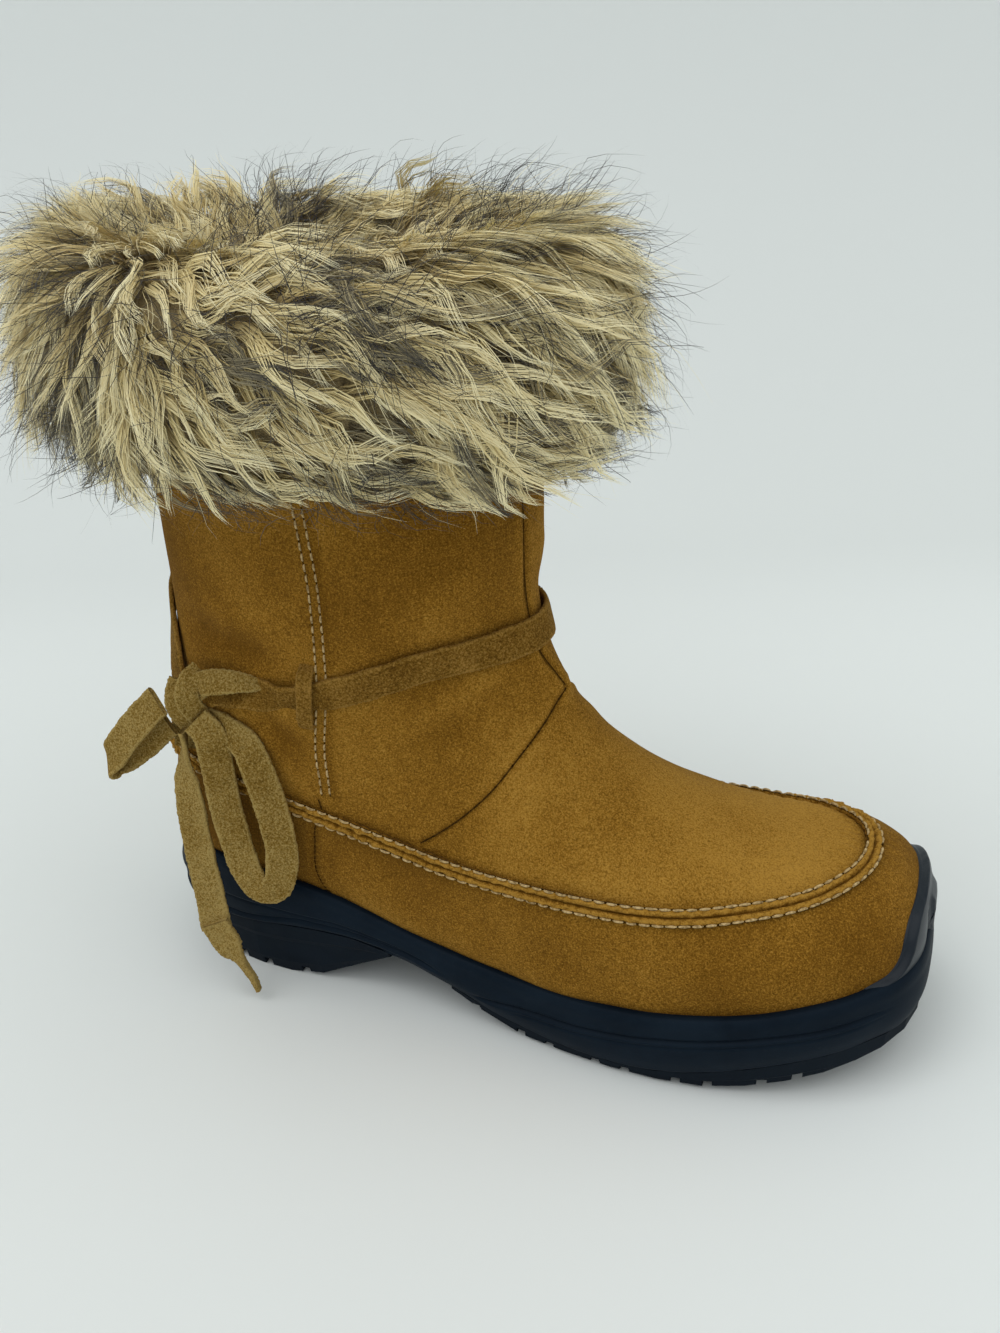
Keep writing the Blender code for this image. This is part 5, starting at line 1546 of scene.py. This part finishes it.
def make_fur():
    clumps, per_clump = ((2100, 20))
    guides, normals, across, tints, turns = clump_guides(clumps)
    owner = np.repeat(np.arange(clumps), per_clump)
    total = len(owner)
    share = np.linspace(0, 1, STATIONS)[None, :, None]
    normal = normals[owner]
    radius = np.sqrt(RNG.uniform(0, 1, total)) * RNG.uniform(*LOCK_RADIUS, clumps)[owner]
    turn = RNG.uniform(0, FULL_TURN, total)
    sideways, outward = radius * np.cos(turn), 0.45 * radius * np.sin(turn)
    offset = across[owner] * sideways[:, None] + normal * outward[:, None]
    ahead = ahead_of(guides, 1)[owner]
    offset = offset[:, None] - ahead * np.einsum("ijk,ik->ij", ahead, offset)[..., None]
    pinch = RNG.uniform(0.70, 1.0, total)[:, None, None]
    spread = 0.75 + 0.45 * np.sin(math.pi * np.minimum(share * 1.4, 1)) - (0.55 + 0.25 * pinch) * share**1.2
    stray = RNG.uniform(0, 1, total) < STRAY_SHARE
    jitter = RNG.normal(size=(total, 3)) * np.where(stray, STRAY_REACH, STRAND_REACH)[:, None]
    spines = guides[owner] + offset * spread + jitter[:, None] * share**1.5
    phase = RNG.uniform(0, 6.28, total)
    pace = RNG.uniform(6, 12, total)[:, None]
    ripple = 0.00022 * np.sin(phase[:, None] + share[..., 0] * pace) * share[..., 0]
    spines = spines + across[owner][:, None] * ripple[..., None]
    reach = RNG.uniform(0.78, 1.06, total)[:, None, None]
    spines = kept_in(spines[:, :1] + (spines - spines[:, :1]) * reach)
    ahead = ahead_of(spines, 1)
    facing = normal[:, None] + 0.5 * unit(RNG.normal(size=(total, 3)))[:, None]
    sides = unit(np.cross(ahead, facing))
    widths = RNG.uniform(*STRAND_WIDTH, total) * np.where(stray, 0.55, 1.0)
    shade = unit(np.cross(sides, ahead))
    shade = shade * np.sign(np.einsum("ijk,ik->ij", shade, normal))[..., None]
    shade = unit(shade * 0.45 + normal[:, None] * 0.85)
    strand_tints = np.clip(tints[owner] + RNG.normal(0, 0.10, total), 0.0, 0.79)
    dark = RNG.uniform(0, 1, total) < DARK_SHARE
    strand_tints = np.where(dark, RNG.uniform(0.62, 0.79, total), strand_tints)
    quarter = (((turns[owner] + math.pi / 4) % FULL_TURN) // (math.pi / 2)).astype(int)
    for n, label in enumerate(("front", "outer", "back", "inner")):
        pick = quarter == n
        strand_mesh(f"fur_{label}", spines[pick], sides[pick], widths[pick], strand_tints[pick], shade[pick])


make_fur()


def make_guard_hairs():
    """Thin dark hairs that stand out of the fur and curl."""
    count = 5600
    turns = RNG.uniform(0, FULL_TURN, 3 * count)
    shares = RNG.uniform(0.04, 0.84, 3 * count)
    tufts = wave(fur_skin(turns, shares)[0], 0.026, 97) + 0.55 * RNG.normal(size=3 * count)
    tufts = tufts - 0.4 * smoothstep(shares, 0.5, 0.7)
    kept = np.argsort(-tufts)[:count]
    turns, shares = turns[kept], shares[kept]
    points, normals, flat = fur_skin(turns, shares)
    flow = unit(flow_at(points, normals, flat, shares)) + RNG.normal(size=(count, 3)) * 0.55
    lying = RNG.uniform(0, 1, count) < 0.55
    start = unit(normals * np.where(lying, 0.55, 0.85)[:, None] + flow * 0.6)
    later = unit(normals * np.where(lying, 0.02, 0.25)[:, None] + flow * 0.9)
    bend = unit(RNG.normal(size=(count, 3)))
    strength = RNG.uniform(0.2, 1.0, count)
    length = RNG.uniform(*GUARD_LENGTH, count) * np.interp(shares, [0, 0.2, 0.6, 0.84], [0.55, 0.9, 1.0, 0.7])
    spines = [points + normals * np.where(lying, 0.0045, 0.001)[:, None]]
    for k in range(1, STATIONS):
        share = k / (STATIONS - 1)
        curl = bend * (strength * math.sin(4.2 * share))[:, None]
        heading = unit(start * (1 - share) + later * share + curl)
        spines.append(spines[-1] + heading * (length / (STATIONS - 1))[:, None])
    spines = kept_in(np.stack(spines, 1))
    ahead = ahead_of(spines, 1)
    facing = normals[:, None] + 0.8 * unit(RNG.normal(size=(count, 3)))[:, None]
    sides = unit(np.cross(ahead, facing))
    shade = unit(np.cross(sides, ahead) * 0.4 + normals[:, None])
    widths = RNG.uniform(*GUARD_WIDTH, count)
    strand_mesh("fur_guard", spines, sides, widths, RNG.uniform(0.88, 0.98, count), shade)


make_guard_hairs()


def stage_material():
    made = Shader("stage", 0.5, Specular_IOR_Level=0.25)
    height = made.node("ShaderNodeSeparateXYZ", {"Vector": made.coordinates}).outputs["Z"]
    # The floor is palest and the sweep darkens as it rises: painted shade on the backdrop
    tones = [(0.0, (0.80, 0.83, 0.81)), (0.010, (0.735, 0.765, 0.745)), (0.45, (0.68, 0.715, 0.695))]
    return made.finish(made.ramp(height, tones))


def make_stage():
    """A pale floor that sweeps up behind the boot."""
    turn = math.radians(CAMERA["turn"])
    ahead = np.array([-math.sin(turn), math.cos(turn), 0.0])
    side = np.array([math.cos(turn), math.sin(turn), 0.0])
    start, radius = 0.19, 1.1
    route = [(-6.0, 0.0), (start - 0.02, 0.0)]
    for bend in np.linspace(0, math.pi / 2, 40):
        route.append((start + radius * math.sin(bend), radius * (1 - math.cos(bend))))
    route += [(start + radius, radius + 0.02), (start + radius, 6.0)]
    vertices = []
    for far, high in route:
        for across in (-8.0, 8.0):
            vertices.append(ahead * far + side * across + np.array([0, 0, high - 0.0002]))
    faces = [(2 * n, 2 * n + 1, 2 * n + 3, 2 * n + 2) for n in range(len(route) - 1)]
    mesh = bpy.data.meshes.new("floor")
    mesh.from_pydata(np.array(vertices).tolist(), [], faces)
    mesh.shade_smooth()
    mesh.materials.append(stage_material())
    floor = add_object("floor", mesh)


make_stage()


def make_light(name, direction, spread, power, colour):
    """Broad light that falls evenly from one direction of the sky."""
    data = bpy.data.lights.new(name, "SUN")
    data.angle = math.radians(spread)
    data.energy = power
    data.color = colour
    add_object(name, data).rotation_euler = Vector(direction).to_track_quat("Z", "Y").to_euler()


make_light("window", (-0.55, -0.08, 0.92), 50, 0.97, (0.98, 0.99, 1.0))
make_light("ceiling", (0.12, -0.22, 1.0), 90, 0.99, (1.0, 0.995, 0.98))
world = bpy.data.worlds.new("soft")
world.use_nodes = True
sky = world.node_tree.nodes["Background"].inputs
sky["Color"].default_value = (0.93, 0.97, 1.0, 1.0)
sky["Strength"].default_value = 0.56
bpy.context.scene.world = world
bpy.context.scene.view_settings.view_transform = "Standard"
